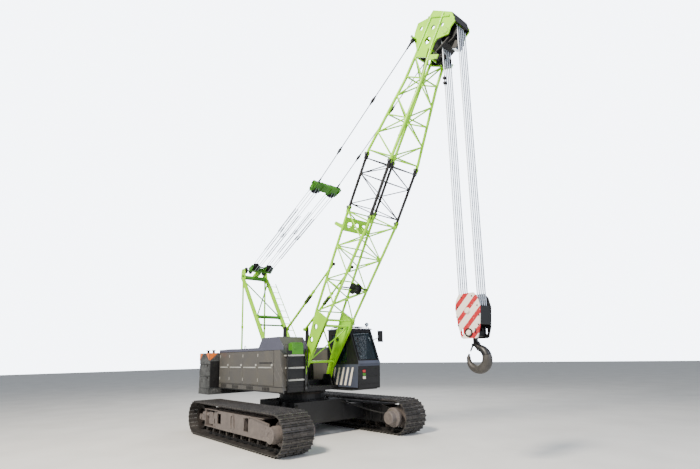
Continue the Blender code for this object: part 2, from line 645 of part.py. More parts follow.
# ---------------------------------------------------------------- cab
CAB_MIDDLE = (CAB_INNER + CAB_OUTER) / 2
CAB_DOOR = ((0.80, 1.66), (CAB_FLOOR + 0.08, CAB_ROOF - 0.12))


def cab_outline(inset):
    return [(CAB_REAR_X + inset, CAB_FLOOR + inset), (CAB_FRONT_X - 0.03 - inset, CAB_FLOOR + inset),
            (CAB_FRONT_X - inset, CAB_SILL), (CAB_BROW_X - inset, CAB_ROOF - inset), (CAB_REAR_X + inset, CAB_ROOF - inset)]


def screen_point(share, offset):
    """A point up the slanted windscreen, offset outwards from its outer face."""
    dx, dz = CAB_BROW_X - CAB_FRONT_X, CAB_ROOF - CAB_SILL
    length = math.hypot(dx, dz)
    return (CAB_FRONT_X + dx * share + dz / length * offset, CAB_SILL + dz * share - dx / length * offset)


def screen_strip(low, high, inner, outer, y, width):
    points = [screen_point(low, inner), screen_point(low, outer), screen_point(high, outer), screen_point(high, inner)]
    return upright([points], y, width)


def cab():
    width = CAB_OUTER - CAB_INNER
    shapes = [upright([cab_outline(0)], CAB_MIDDLE, width)]
    door_x, door_z = CAB_DOOR
    holes = [
        upright([cab_outline(CAB_WALL)], CAB_MIDDLE, width - 2 * CAB_WALL),
        screen_strip(0.06, 0.90, -0.2, 0.2, CAB_MIDDLE, width - 0.14),
        box((0.80, CAB_INNER - 0.1, 2.26), (1.62, CAB_INNER + 0.1, 3.20)),
        box((door_x[0], CAB_OUTER - 0.1, door_z[0]), (door_x[1], CAB_OUTER + 0.1, door_z[1])),
    ]
    return solid("cab_shell", BLACK, slew, shapes, holes)


cab()
solid("windscreen", CLEAR, slew,
      [screen_strip(0.06 + GAP, 0.90 - GAP, -0.035, -0.035 + GLASS, CAB_MIDDLE, CAB_OUTER - CAB_INNER - 0.14 - 2 * GAP)])
solid("cab_side_window", CLEAR, slew,
      [box((0.80 + GAP, CAB_INNER + 0.02, 2.26 + GAP), (1.62 - GAP, CAB_INNER + 0.02 + GLASS, 3.20 - GAP))])
door_x, door_z = CAB_DOOR
cab_door_pivot = pivot("cab_door_pivot", (door_x[0] + GAP, CAB_OUTER, door_z[0]), slew)
door_frame = box((door_x[0] + GAP, CAB_OUTER - CAB_WALL + GAP, door_z[0] + RUN_GAP),
                 (door_x[1] - 2 * RUN_GAP, CAB_OUTER, door_z[1] - RUN_GAP))
door_light = box((door_x[0] + 0.10, CAB_OUTER - 0.1, 2.20), (door_x[1] - 0.10, CAB_OUTER + 0.1, door_z[1] - 0.08))
solid("cab_door", BLACK, cab_door_pivot, [door_frame], [door_light])
solid("cab_door_window", CLEAR, cab_door_pivot,
      [box((door_x[0] + 0.10 + GAP, CAB_OUTER - 0.03, 2.20 + GAP),
           (door_x[1] - 0.10 - GAP, CAB_OUTER - 0.03 + GLASS, door_z[1] - 0.08 - GAP))])
seat_z = CAB_FLOOR + CAB_WALL + GAP
solid("operator_seat", CLOTH, slew,
      [box((1.00, CAB_MIDDLE - 0.16, seat_z), (1.40, CAB_MIDDLE + 0.16, 1.86)),
       box((0.95, CAB_MIDDLE - 0.25, 1.80), (1.46, CAB_MIDDLE + 0.25, 1.98)),
       box((0.86, CAB_MIDDLE - 0.24, 1.84), (1.02, CAB_MIDDLE + 0.24, 2.62))])
y = CAB_MIDDLE - 0.34
solid("cab_console", BLACK, slew, [box((1.00, y - 0.07, seat_z), (1.62, y + 0.07, 2.05))])

# ---------------------------------------------------------------- boom
def chord_depth(t, front):
    """How far a chord lies from the boom's axis at t, positive towards the front face."""
    if t >= TAPER_START:
        share = (t - TAPER_START) / (HEAD_START - TAPER_START)
        end = 0.33 if front else -0.15
        return (1 - share) * (BOOM_HALF_DEPTH if front else -BOOM_HALF_DEPTH) + share * end
    if t >= JOINT_1 - 0.2:
        return BOOM_HALF_DEPTH if front else -BOOM_HALF_DEPTH
    if front:
        return BOOM_HALF_DEPTH * max(0.0, t - 0.4) / (JOINT_1 - 0.6)
    knee, knee_depth = 2.20, 0.42
    if t < knee:
        return -0.03 - (knee_depth - 0.03) * t / knee
    return -knee_depth - (BOOM_HALF_DEPTH - knee_depth) * (t - knee) / (JOINT_1 - 0.2 - knee)


def chord_half_width(t):
    if t < TAPER_START:
        return BOOM_HALF_WIDTH
    share = min(1.0, (t - TAPER_START) / (TAPER_END - TAPER_START))
    return BOOM_HALF_WIDTH + (HEAD_HALF_WIDTH - BOOM_HALF_WIDTH) * share


def corner(t, side, front):
    return boom_point(t, side * chord_half_width(t), chord_depth(t, front))


def lattice(stations, zigzag=0, open_panel=None):
    """Lacings on the four faces between stations along the boom. One panel of the rear face may stay open."""
    shapes = []
    faces = (((-1, True), (-1, False)), ((1, True), (1, False)), ((-1, True), (1, True)), ((-1, False), (1, False)))
    for number, (low, high) in enumerate(zip(stations, stations[1:])):
        for face, (one, other) in enumerate(faces):
            if number == open_panel and face == 3:
                continue
            first, last = (one, other) if (number + face + zigzag) % 2 else (other, one)
            shapes.append(rod(corner(low, *first), corner(high, *last), LACING, 4))
    for t in (stations[0], *stations[2:-1:2], stations[-1]):
        for one, other in faces:
            shapes.append(rod(corner(t, *one), corner(t, *other), LACING, 4))
    return shapes


def chords(stops):
    shapes = []
    for side in (-1, 1):
        for front in (True, False):
            for low, high in zip(stops, stops[1:]):
                shapes.append(rod(corner(low, side, front), corner(high, side, front), CHORD, 6))
    return shapes


JOINT_GAP = GAP / 2


def evenly(start, end, count):
    return [start + (end - start) * i / count for i in range(count + 1)]


def boom_base():
    stops = (2.20, JOINT_1 - 0.2, JOINT_1 - JOINT_GAP)
    shapes = chords(stops) + lattice(evenly(2.20, JOINT_1 - 0.12, 6), open_panel=2)
    holes = []
    for side in (-1, 1):
        shell = [(-0.07, -0.10), (0.10, -0.14), (2.25, -0.46), (2.25, chord_depth(2.25, True) + 0.04),
                 (0.45, 0.05), (0.10, 0.12), (-0.07, 0.09)]
        shapes.append(boom_plate([shell], side * BOOM_HALF_WIDTH, FOOT_LUG))
        for t in (0.0, 1.33, 1.78):
            radius = bore(FOOT_PIN) if t == 0 else 0.075
            d = 0 if t == 0 else -0.18
            start, end = (boom_point(t, side * y, d) for y in (BOOM_HALF_WIDTH - 0.2, BOOM_HALF_WIDTH + 0.2))
            holes.append(rod(start, end, radius, PIN_SIDES))
    for t, d in ((0.62, 0.0), (1.95, 0.08), (1.95, -0.34)):
        shapes.append(rod(boom_point(t, -BOOM_HALF_WIDTH, d), boom_point(t, BOOM_HALF_WIDTH, d), 0.04, 8))
    shapes.append(rod(boom_point(0.62, -BOOM_HALF_WIDTH, 0), boom_point(1.95, BOOM_HALF_WIDTH, 0.08), LACING, 4))
    shapes.append(rod(boom_point(0.62, BOOM_HALF_WIDTH, 0), boom_point(1.95, -BOOM_HALF_WIDTH, 0.08), LACING, 4))
    return solid("boom_base", LIME, luff, shapes, holes)


def boom_insert():
    stops = (JOINT_1 + JOINT_GAP, JOINT_2 - JOINT_GAP)
    return solid("boom_insert", BLACK, luff, chords(stops) + lattice(evenly(JOINT_1 + 0.12, JOINT_2 - 0.12, 2)))


HEAD_PLATE = 0.04
HEAD_OUTLINE = [(9.98, -0.20), (10.17, -0.20), (10.32, -0.32), (10.44, -0.45), (10.62, -0.50), (10.86, -0.50),
                (10.99, -0.15), (11.17, -0.08), (11.10, 0.62), (10.88, 0.83), (10.74, 0.76), (10.56, 0.76),
                (10.45, 0.42), (10.36, 0.38), (9.98, 0.38)]


def boom_top():
    shapes = chords((JOINT_2 + JOINT_GAP, TAPER_START, TAPER_END, HEAD_START)) + lattice(evenly(TAPER_START, 10.0, 5), 1)
    holes = []
    for side in (-1, 1):
        shapes.append(boom_plate([HEAD_OUTLINE], side * HEAD_HALF_WIDTH, HEAD_PLATE))
        for t, d, radius in ((10.72, -0.30, 0.05), (10.742, 0.16, 0.06), (10.80, 0.50, 0.05), (10.41, 0.109, 0.09)):
            start, end = (boom_point(t, side * y, d) for y in (HEAD_HALF_WIDTH - 0.1, HEAD_HALF_WIDTH + 0.1))
            holes.append(rod(start, end, radius, 10))
        inner = HEAD_HALF_WIDTH - 0.1
        shapes.append(rod(boom_point(PENDANT_T, side * inner, PENDANT_D),
                          boom_point(PENDANT_T, side * (PENDANT_Y + 0.10), PENDANT_D), PENDANT_PIN_RADIUS, PIN_SIDES))
    for t, d, radius in ((10.93, -0.12, 0.04), (11.0, 0.50, 0.04), (10.2, 0.30, 0.03), (10.62, -0.40, 0.03)):
        shapes.append(rod(boom_point(t, -HEAD_HALF_WIDTH, d), boom_point(t, HEAD_HALF_WIDTH, d), radius, 8))
    reach = HEAD_HALF_WIDTH
    shapes.append(rod(boom_point(GUIDE_T, -reach, GUIDE_D), boom_point(GUIDE_T, reach, GUIDE_D), GUIDE_AXLE, PIN_SIDES))
    shapes.append(boom_plate([[(9.90, 0.30), (10.05, 0.30), (GUIDE_T + 0.05, GUIDE_D + 0.05),
                               (GUIDE_T - 0.05, GUIDE_D + 0.05)]], -reach, 0.03))
    shapes.append(boom_plate([[(9.90, 0.30), (10.05, 0.30), (GUIDE_T + 0.05, GUIDE_D + 0.05),
                               (GUIDE_T - 0.05, GUIDE_D + 0.05)]], reach, 0.03))
    shapes.append(rod(boom_point(HEAD_SHEAVE_T, -reach, HEAD_SHEAVE_D), boom_point(HEAD_SHEAVE_T, reach, HEAD_SHEAVE_D),
                      HEAD_AXLE, PIN_SIDES))
    return solid("boom_top", LIME, luff, shapes, holes)


GUIDE_T = 10.02
GUIDE_D = 0.62
GUIDE_AXLE = 0.03
HEAD_AXLE = 0.05
boom_base()
boom_insert()
boom_top()


def bored_sheaves(name, parent, centre, axle, radius, width, places):
    """A cluster of sheave discs on one sleeve that turns round its axle."""
    cx, cy, cz = centre
    shapes = [rod((cx, -width, cz), (cx, width, cz), axle + 0.03, 12)]
    for y in places:
        shapes.append(rod((cx, y - 0.025, cz), (cx, y + 0.025, cz), radius, 20))
    hole = rod((cx, -width - 0.1, cz), (cx, width + 0.1, cz), bore(axle), PIN_SIDES)
    return solid(name, IRON, parent, shapes, [hole])


FALL_Y = [FALL_SPACING * (i - (FALL_COUNT - 1) / 2) for i in range(FALL_COUNT)]
ROPE_TURNS = 8
SHEAVE_RADIUS = SHEAVE_PITCH_RADIUS * math.cos(math.pi / 2 / ROPE_TURNS) - ROPE - GAP
head_turn = pivot("head_sheaves_pivot", tuple(HEAD), luff)
bored_sheaves("head_sheaves", head_turn, tuple(HEAD), HEAD_AXLE, SHEAVE_RADIUS, HEAD_HALF_WIDTH - 0.02 - RUN_GAP, FALL_Y)
guide = boom_point(GUIDE_T, 0, GUIDE_D)
guide_turn = pivot("guide_sheave_pivot", tuple(guide), luff)
bored_sheaves("guide_sheave", guide_turn, tuple(guide), GUIDE_AXLE, 0.14, HEAD_HALF_WIDTH - 0.015 - RUN_GAP, [-0.12, 0.12])

# ---------------------------------------------------------------- hoist rope, hook block, hook
def reeved_rope():
    """One rope that goes down and up between the head sheaves and the block's sheaves."""
    points = []
    turns = ROPE_TURNS
    for i, y in enumerate(FALL_Y):
        points.append((HOOK_X - SHEAVE_PITCH_RADIUS, y, HEAD.z))
        for step in range(turns + 1):
            angle = math.pi + math.pi * step / turns
            points.append((HOOK_X + SHEAVE_PITCH_RADIUS * math.cos(angle), y,
                           BLOCK_AXLE_Z + SHEAVE_PITCH_RADIUS * math.sin(angle)))
        points.append((HOOK_X + SHEAVE_PITCH_RADIUS, y, HEAD.z))
        if i == FALL_COUNT - 1:
            continue
        for step in range(1, turns):
            share = step / turns
            angle = math.pi * share
            points.append((HOOK_X + SHEAVE_PITCH_RADIUS * math.cos(angle), y + FALL_SPACING * share,
                           HEAD.z + SHEAVE_PITCH_RADIUS * math.sin(angle)))
    return tube(points, ROPE, 0)


solid("rope_falls", WIRE, falls, [reeved_rope()])


def hook_block():
    cheek = [(-0.20, BLOCK_TOP), (0.20, BLOCK_TOP), (BLOCK_HALF_LENGTH, 3.55), (BLOCK_HALF_LENGTH, 3.05),
             (0.20, BLOCK_BOTTOM), (-0.20, BLOCK_BOTTOM), (-BLOCK_HALF_LENGTH, 3.05), (-BLOCK_HALF_LENGTH, 3.55)]
    cheek = [(HOOK_X + x, z) for x, z in cheek]
    shapes = []
    for side in (-1, 1):
        shapes.append(upright([cheek], side * (BLOCK_HALF_WIDTH - CHEEK / 2), CHEEK))
    inner = BLOCK_HALF_WIDTH - 0.01
    shapes.append(rod((HOOK_X, -inner - 0.04, BLOCK_AXLE_Z), (HOOK_X, inner + 0.04, BLOCK_AXLE_Z), 0.06, 16))
    for y in FALL_Y:
        shapes.append(rod((HOOK_X, y - 0.02, BLOCK_AXLE_Z), (HOOK_X, y + 0.02, BLOCK_AXLE_Z), SHEAVE_RADIUS, 20))
    shapes.append(box((HOOK_X - 0.13, -inner, BLOCK_BOTTOM + 0.04), (HOOK_X + 0.13, inner, CROSSHEAD_TOP)))
    for x in (-0.29, 0.29):
        shapes.append(rod((HOOK_X + x, -inner, 3.30), (HOOK_X + x, inner, 3.30), 0.02, 8))
    hole = [rod((HOOK_X, 0, BLOCK_BOTTOM - 0.1), (HOOK_X, 0, CROSSHEAD_TOP + 0.02), 0.062, 12)]
    return solid("hook_block", CREAM, block, shapes, hole)


hook_block()
swivel = pivot("hook_pivot", (HOOK_X, 0, BLOCK_BOTTOM), block)


def hook():
    """A forged hook: round shank, then a bowl that is thickest at its foot and thins to the point."""
    points, radii = [(HOOK_X, 0, CROSSHEAD_TOP + 0.03), (HOOK_X, 0, 2.74), (HOOK_X + 0.03, 0, 2.68)], [0.055, 0.055, 0.09]
    centre_x = HOOK_X + 0.03
    steps = 16
    for i in range(steps + 1):
        share = i / steps
        angle = math.radians(78 - 283 * share)
        points.append((centre_x + HOOK_RADIUS * math.cos(angle), 0, HOOK_CENTRE_Z + HOOK_RADIUS * math.sin(angle)))
        radii.append(0.075 + 0.03 * math.sin(math.pi * share) - 0.03 * share)
    shapes = [tube(points, 1.0, 1, radii)]
    nut_z = CROSSHEAD_TOP + GAP
    shapes.append(rod((HOOK_X, 0, nut_z), (HOOK_X, 0, nut_z + 0.05), 0.09, 8))
    for side in (-1, 1):
        shapes.append(side_box(side, (HOOK_X - 0.085, HOOK_X - 0.02), (LATCH_WIDTH / 2 + GAP, 0.035), (2.63, 2.69)))
    return solid("hook", IRON, swivel, shapes)


hook()
latch_pin = (HOOK_X - 0.072, 0, 2.66)
latch_turn = pivot("hook_latch_pivot", latch_pin, swivel)
solid("hook_latch", IRON, latch_turn,
      [upright([[(HOOK_X - 0.08, 2.675), (HOOK_X - 0.064, 2.645), (HOOK_X - 0.140, 2.515), (HOOK_X - 0.160, 2.53)]], 0, LATCH_WIDTH)])

# ---------------------------------------------------------------- luffing gear
def rope_run(y, n, start, end):
    return rod(rope_point(start, y, n), rope_point(end, y, n), ROPE, 6)


LOW_SHEAVE_S = 0.34
LINE_N = LUFF_SHEAVE - ROPE / 2
SPREADER_S = (rope_point(0, 0, 0) - Vector((SPREADER_X, 0, SPREADER_Z))).length
NEAR_ROPES_END = 2.66
MIDDLE_START = 1.24
MIDDLE_END = 3.68
FAR_LENGTH = 2.45
LOW_CHEEK_Y = 0.45
TOP_CHEEK_Y = 0.50
MIDDLE_N = LINE_N + 2 * ROPE + 2 * GAP


def rope_plate(points, y, thickness):
    return upright([[tuple(rope_point(s, 0, n).xz) for s, n in points]], y, thickness)


def lower_spreader():
    lug = [(-0.06, -0.06), (0.20, -0.06), (0.20, 0.06), (-0.06, 0.06)]
    shapes = [rope_plate(lug, 0, 2 * LUG_HALF)]
    beam = [(0.10, -0.07), (0.17, -0.07), (0.17, 0.07), (0.10, 0.07)]
    shapes.append(rope_plate(beam, 0, 1.0))
    cheek = [(0.12, -0.10), (LOW_SHEAVE_S + 0.06, -0.06), (LOW_SHEAVE_S + 0.06, 0.06), (0.12, 0.10)]
    for side in (-1, 1):
        shapes.append(rope_plate(cheek, side * LOW_CHEEK_Y, 0.03))
    hole = rod(rope_point(0, -0.1, 0), rope_point(0, 0.1, 0), bore(LUFF_PIN), PIN_SIDES)
    return solid("lower_spreader", LIME, reeving, shapes, [hole])


def reeved_sheaves(name, parent, s, places, bottom, top, cheek_y):
    """Sheaves on one axle between two cheeks, and the rope that runs off both sides of each."""
    reach = cheek_y - 0.015 - GAP
    shapes = [rod(rope_point(s, -reach, 0), rope_point(s, reach, 0), 0.03, 12)]
    for y in places:
        shapes.append(rod(rope_point(s, y - 0.02, 0), rope_point(s, y + 0.02, 0), LUFF_SHEAVE, 16))
        for n in (-LINE_N, LINE_N):
            shapes.append(rope_run(y, n, bottom, top))
    return solid(name, WIRE, parent, shapes)


lower_spreader()
reeved_sheaves("near_luff_ropes", reeving, LOW_SHEAVE_S, LUFF_ROPES_Y, LOW_SHEAVE_S, NEAR_ROPES_END, LOW_CHEEK_Y)
middle_slide = pivot("middle_ropes_pivot", tuple(rope_point(MIDDLE_START, 0, 0)), reeving)
shapes = [rope_run(y, n, MIDDLE_START, MIDDLE_END) for y in LUFF_ROPES_Y for n in (-MIDDLE_N, MIDDLE_N)]
comb_n = MIDDLE_N + ROPE + 0.006
for n in (-comb_n, comb_n):
    shapes.append(rod(rope_point(MIDDLE_START + 0.015, -0.35, n), rope_point(MIDDLE_START + 0.015, 0.35, n), 0.012, 6))
shapes.append(rod(rope_point(MIDDLE_START + 0.015, 0, -comb_n), rope_point(MIDDLE_START + 0.015, 0, comb_n), 0.012, 6))
solid("middle_luff_ropes", WIRE, middle_slide, shapes)

far_y = [y + math.copysign(LUFF_SHIFT_Y, y) for y in LUFF_ROPES_Y]
reeved_sheaves("far_luff_ropes", pendants, SPREADER_S, far_y, SPREADER_S - FAR_LENGTH, SPREADER_S, TOP_CHEEK_Y)


def upper_spreader():
    shapes = []
    beam = [(SPREADER_S + 0.17, -0.07), (SPREADER_S + 0.30, -0.07), (SPREADER_S + 0.30, 0.07), (SPREADER_S + 0.17, 0.07)]
    shapes.append(rope_plate(beam, 0, 1.16))
    cheek = [(SPREADER_S - 0.07, -0.07), (SPREADER_S + 0.2, -0.12), (SPREADER_S + 0.2, 0.12), (SPREADER_S - 0.07, 0.07)]
    for side in (-1, 1):
        shapes.append(rope_plate(cheek, side * TOP_CHEEK_Y, 0.03))
    return solid("upper_spreader", LIME, pendants, shapes)


upper_spreader()
for tag, side in SIDES:
    y = side * PENDANT_Y
    seat = rope_point(SPREADER_S + 0.30, y, 0)
    pin = Vector((PENDANT_PIN.x, y, PENDANT_PIN.z))
    kink = (pin - seat).angle(rope_point(1, 0, 0) - rope_point(0, 0, 0))
    start = seat + (pin - seat).normalized() * (PENDANT_ROPE * math.sin(kink) + 2 * GAP)
    near_pin = pin + (start - pin).normalized() * 0.10
    socket = rod(pin - Vector((0, 0.03, 0)), pin + Vector((0, 0.03, 0)), 0.06, 16)
    shapes = [rod(start, near_pin, PENDANT_ROPE, 8), rod(near_pin, pin, 0.035, 8), socket]
    eye = rod(pin - Vector((0, 0.1, 0)), pin + Vector((0, 0.1, 0)), bore(PENDANT_PIN_RADIUS), PIN_SIDES)
    solid(f"pendant_{tag}", WIRE, pendants, shapes, [eye])

# ---------------------------------------------------------------- backstops
EYE = boom_point(STOP_EYE_T, 0, chord_depth(STOP_EYE_T, False) - CHORD - 0.05)
for tag, side in SIDES:
    foot = Vector((STOP_FOOT_X, side * STOP_Y, STOP_FOOT_Z))
    eye = Vector((EYE.x, side * STOP_Y, EYE.z))
    aim = (eye - foot).normalized()
    swing = pivot(f"backstop_{tag}_pivot", tuple(foot), slew)
    slide = pivot(f"backstop_rod_{tag}_pivot", tuple(foot + aim * STOP_TUBE_LENGTH), swing)
    across = Vector((0, STOP_EYE / 2, 0))
    barrel = rod(foot, foot + aim * STOP_TUBE_LENGTH, STOP_TUBE, 12)
    knuckle = rod(foot - across, foot + across, 0.065, 16)
    bores = [rod(foot - across * 2, foot + across * 2, bore(STOP_PIN), PIN_SIDES),
             rod(foot + aim * 0.10, foot + aim * (STOP_TUBE_LENGTH + 0.2), STOP_ROD + 2 * GAP, 12)]
    solid(f"backstop_tube_{tag}", LIME, swing, [barrel, knuckle], bores)
    ram = rod(foot + aim * 0.90, eye, STOP_ROD, 12)
    ball = rod(eye - across * 0.7, eye + across * 0.7, 0.05, 12)
    solid(f"backstop_rod_{tag}", LIME, slide, [ram, ball])

bpy.data.collections.remove(bench)
bpy.context.view_layer.update()
pieces = [piece for piece in parts.objects if piece.type == "MESH"]
reach_x = [(piece.matrix_world @ vertex.co).x for piece in pieces for vertex in piece.data.vertices]
crane.location.x = -(min(reach_x) + max(reach_x)) / 2
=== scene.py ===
# %% [markdown]
# # Crawler crane
# A crawler crane is a turning machine on two tracks. Its solids, joints and sizes already exist as the
# frame, which is loaded here. This lesson gives each solid its finish, swaps the plain ones for finer
# pieces, and adds the trim that a crane of this kind carries. Everything stays within 3 cm of the
# frame's box.

import math

import bmesh
import bpy
from mathutils import Matrix, Vector


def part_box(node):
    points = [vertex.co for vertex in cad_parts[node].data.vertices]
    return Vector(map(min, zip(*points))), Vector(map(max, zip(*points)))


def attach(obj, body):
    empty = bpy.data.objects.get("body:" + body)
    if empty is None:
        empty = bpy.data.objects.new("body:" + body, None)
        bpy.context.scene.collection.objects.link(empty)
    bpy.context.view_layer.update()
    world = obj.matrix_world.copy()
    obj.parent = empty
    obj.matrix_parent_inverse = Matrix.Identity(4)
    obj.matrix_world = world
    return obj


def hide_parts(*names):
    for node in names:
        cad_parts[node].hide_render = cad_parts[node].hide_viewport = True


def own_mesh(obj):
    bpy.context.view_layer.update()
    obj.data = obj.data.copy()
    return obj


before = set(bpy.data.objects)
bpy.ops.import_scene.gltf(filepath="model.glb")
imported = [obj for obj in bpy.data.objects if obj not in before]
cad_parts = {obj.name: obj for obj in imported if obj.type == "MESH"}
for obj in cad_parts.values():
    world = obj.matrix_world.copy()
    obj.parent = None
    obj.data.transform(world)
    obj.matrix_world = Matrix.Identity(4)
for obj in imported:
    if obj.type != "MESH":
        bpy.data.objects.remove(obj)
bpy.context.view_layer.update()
COUNTERWEIGHT_REAR = -4.15
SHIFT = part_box("counterweight_base")[0].x - COUNTERWEIGHT_REAR

# %% [markdown]
# ## Colours and nodes
# Paint charts give colours as sRGB hex values, while shaders mix light in linear values, so one function
# turns one into the other. A second function adds a shader node with its settings and its links in one
# line.

# %% Two helpers for materials


def linear(hex_code):
    """A hex colour as four linear values."""
    shares = [int(hex_code[i:i + 2], 16) / 255 for i in (0, 2, 4)]
    values = [s / 12.92 if s <= 0.04045 else ((s + 0.055) / 1.055) ** 2.4 for s in shares]
    return (*values, 1.0)


def add(tree, kind, inputs=None, stops=None, **settings):
    """A node with its settings, its inputs linked or set, and a colour ramp's stops."""
    made = tree.nodes.new(kind)
    for name, value in settings.items():
        setattr(made, name, value)
    for name, value in (inputs or {}).items():
        if isinstance(value, bpy.types.NodeSocket):
            tree.links.new(value, made.inputs[name])
        else:
            made.inputs[name].default_value = value
    if stops:
        ramp = made.color_ramp
        ramp.elements[0].position, ramp.elements[0].color = stops[0]
        ramp.elements[1].position, ramp.elements[1].color = stops[-1]
        for position, colour in stops[1:-1]:
            ramp.elements.new(position).color = colour
    return made


def blank(name):
    """A material with its Principled shader, its node tree and its Object coordinates."""
    material = bpy.data.materials.new(name)
    material.use_nodes = True
    tree = material.node_tree
    return material, tree, tree.nodes["Principled BSDF"], add(tree, "ShaderNodeTexCoord").outputs["Object"]


print("linear lime", [round(v, 3) for v in linear("B4E61E")])

# %% [markdown]
# ## Painted steel
# Two-pack enamel is sprayed on sandblasted plate. It has a soft gloss, a faint orange-peel ripple, and it
# greys a little where dust lies. One function makes every painted finish: a slow noise drifts between the
# clean and the dusty colour, and a finer one drives the ripple and the roughness. The real ripple is 2 to 3
# mm across, too fine to show here, so it is drawn about 15 mm wide.


def enamel(name, clean, dusty, roughness, patch_mm=500.0, ripple=0.05, coat=0.3):
    material, tree, shader, place = blank(name)
    patches = add(tree, "ShaderNodeTexNoise", {"Vector": place, "Scale": 1000 / patch_mm, "Detail": 6.0})
    tint = add(tree, "ShaderNodeValToRGB", {"Fac": patches.outputs["Fac"]},
               stops=[(0.42, linear(clean)), (0.72, linear(dusty))])
    peel = add(tree, "ShaderNodeTexNoise", {"Vector": place, "Scale": 1000 / 15, "Detail": 2.0})
    bump = add(tree, "ShaderNodeBump",
               {"Height": peel.outputs["Fac"], "Strength": ripple, "Distance": 0.004})
    gloss = add(tree, "ShaderNodeMapRange",
                {"Value": patches.outputs["Fac"], "From Min": 0.35, "From Max": 0.7,
                                             "To Min": roughness, "To Max": roughness + 0.15})
    tree.links.new(tint.outputs["Color"], shader.inputs["Base Color"])
    tree.links.new(gloss.outputs["Result"], shader.inputs["Roughness"])
    tree.links.new(bump.outputs["Normal"], shader.inputs["Normal"])
    shader.inputs["IOR"].default_value = 1.5
    shader.inputs["Coat Weight"].default_value = coat
    shader.inputs["Coat Roughness"].default_value = 0.2
    return material


LIME = enamel("lime_enamel", "9AE000", "86C800", 0.30)
# A darker copy of the lime green: painted shade for lime parts that lie in shadow.
SHADED_GREEN = enamel("shaded_green_enamel", "3F8210", "336A12", 0.45)
BLACK = enamel("black_enamel", "09090B", "131315", 0.42, coat=0.1)
SLATE = enamel("slate_cab_enamel", "454B5C", "3C404C", 0.35)
HOUSE_GREY = enamel("house_grey_enamel", "4F4E4C", "57554F", 0.42, coat=0.15)
ROOF_GREY = enamel("roof_grey_enamel", "4C4E5E", "464858", 0.35)
CREAM = enamel("cream_enamel", "EFE7DA", "DCD3C4", 0.4)
ORANGE = enamel("orange_enamel", "E8761E", "C9651C", 0.4)
SIGNAL_RED = enamel("red_enamel", "C22C33", "A62A30", 0.4)
LIGHT_GREY = enamel("light_grey_enamel", "A9ABA8", "8E8F8C", 0.45)

# %% [markdown]
# ## Cast and rolled steel of the tracks
# Track shoes are cast manganese steel. They leave the foundry grey, rust brown, and fill with dried mud, so
# the finish is a mix of three tones with a coarse, sandy surface. Sand-cast grain is about 1 mm; it is
# drawn at 8 mm so that it still shows. The frames share the recipe with other colours.

# %% Cast finishes


def cast(name, dark, middle, light, roughness, metallic, grain_mm=8.0, strength=0.35):
    material, tree, shader, place = blank(name)
    stains = add(tree, "ShaderNodeTexNoise",
                 {"Vector": place, "Scale": 5.0, "Detail": 8.0, "Roughness": 0.65})
    grain = add(tree, "ShaderNodeTexNoise", {"Vector": place, "Scale": 1000 / grain_mm, "Detail": 3.0})
    mixed = add(tree, "ShaderNodeMath", {0: stains.outputs["Fac"], 1: grain.outputs["Fac"]}, operation="ADD")
    tint = add(tree, "ShaderNodeValToRGB",
               {"Fac": add(tree, "ShaderNodeMath", {0: mixed.outputs["Value"], 1: 0.5},
                                                       operation="MULTIPLY").outputs["Value"]},
               stops=[(0.36, linear(dark)), (0.5, linear(middle)), (0.68, linear(light))])
    bump = add(tree, "ShaderNodeBump",
               {"Height": mixed.outputs["Value"], "Strength": strength, "Distance": 0.004})
    tree.links.new(tint.outputs["Color"], shader.inputs["Base Color"])
    tree.links.new(bump.outputs["Normal"], shader.inputs["Normal"])
    shader.inputs["Roughness"].default_value = roughness
    shader.inputs["Metallic"].default_value = metallic
    return material


SHOE_STEEL = cast("cast_shoe_steel", "242322", "3C3A39", "5A5654", 0.5, 0.25)
FRAME_STEEL = cast("painted_track_frame", "544D4B", "665F5C", "7A716C", 0.6, 0.1, strength=0.15)
DARK_STEEL = cast("oily_running_gear", "141212", "26211F", "4B423D", 0.5, 0.5)
HOOK_STEEL = cast("forged_hook_steel", "2B2A29", "403E3C", "575452", 0.5, 0.3)
WEIGHT_IRON = cast("rough_cast_weight", "26282A", "3D4042", "6E7172", 0.8, 0.0, grain_mm=25)
SHEAVE_IRON = cast("cast_sheave_iron", "101112", "1B1D1F", "303336", 0.45, 0.4)
print("cast finishes made")

# %% [markdown]
# ## Rope, glass and the rest
# Steel rope is drawn wire laid in strands; the strands cross the rope slantwise about every 30 mm, which a
# diagonal wave draws. Cab glass is tinted float glass. Rubber, vinyl, lamp lenses, mirror glass and
# zinc-plated fixings each have one plain recipe, because they show only in small areas.

# %% Rope, glass, rubber and lamps


def strand(name, dark, light, lay_mm, metallic):
    material, tree, shader, place = blank(name)
    lay = add(tree, "ShaderNodeTexWave", {"Vector": place, "Scale": 628 / lay_mm, "Distortion": 0.6},
              bands_direction="DIAGONAL")
    tint = add(tree, "ShaderNodeValToRGB", {"Fac": lay.outputs["Fac"]},
               stops=[(0.1, linear(dark)), (0.6, linear(light))])
    bump = add(tree, "ShaderNodeBump", {"Height": lay.outputs["Fac"], "Strength": 0.2, "Distance": 0.003})
    tree.links.new(tint.outputs["Color"], shader.inputs["Base Color"])
    tree.links.new(bump.outputs["Normal"], shader.inputs["Normal"])
    shader.inputs["Metallic"].default_value = metallic
    shader.inputs["Roughness"].default_value = 0.5
    return material


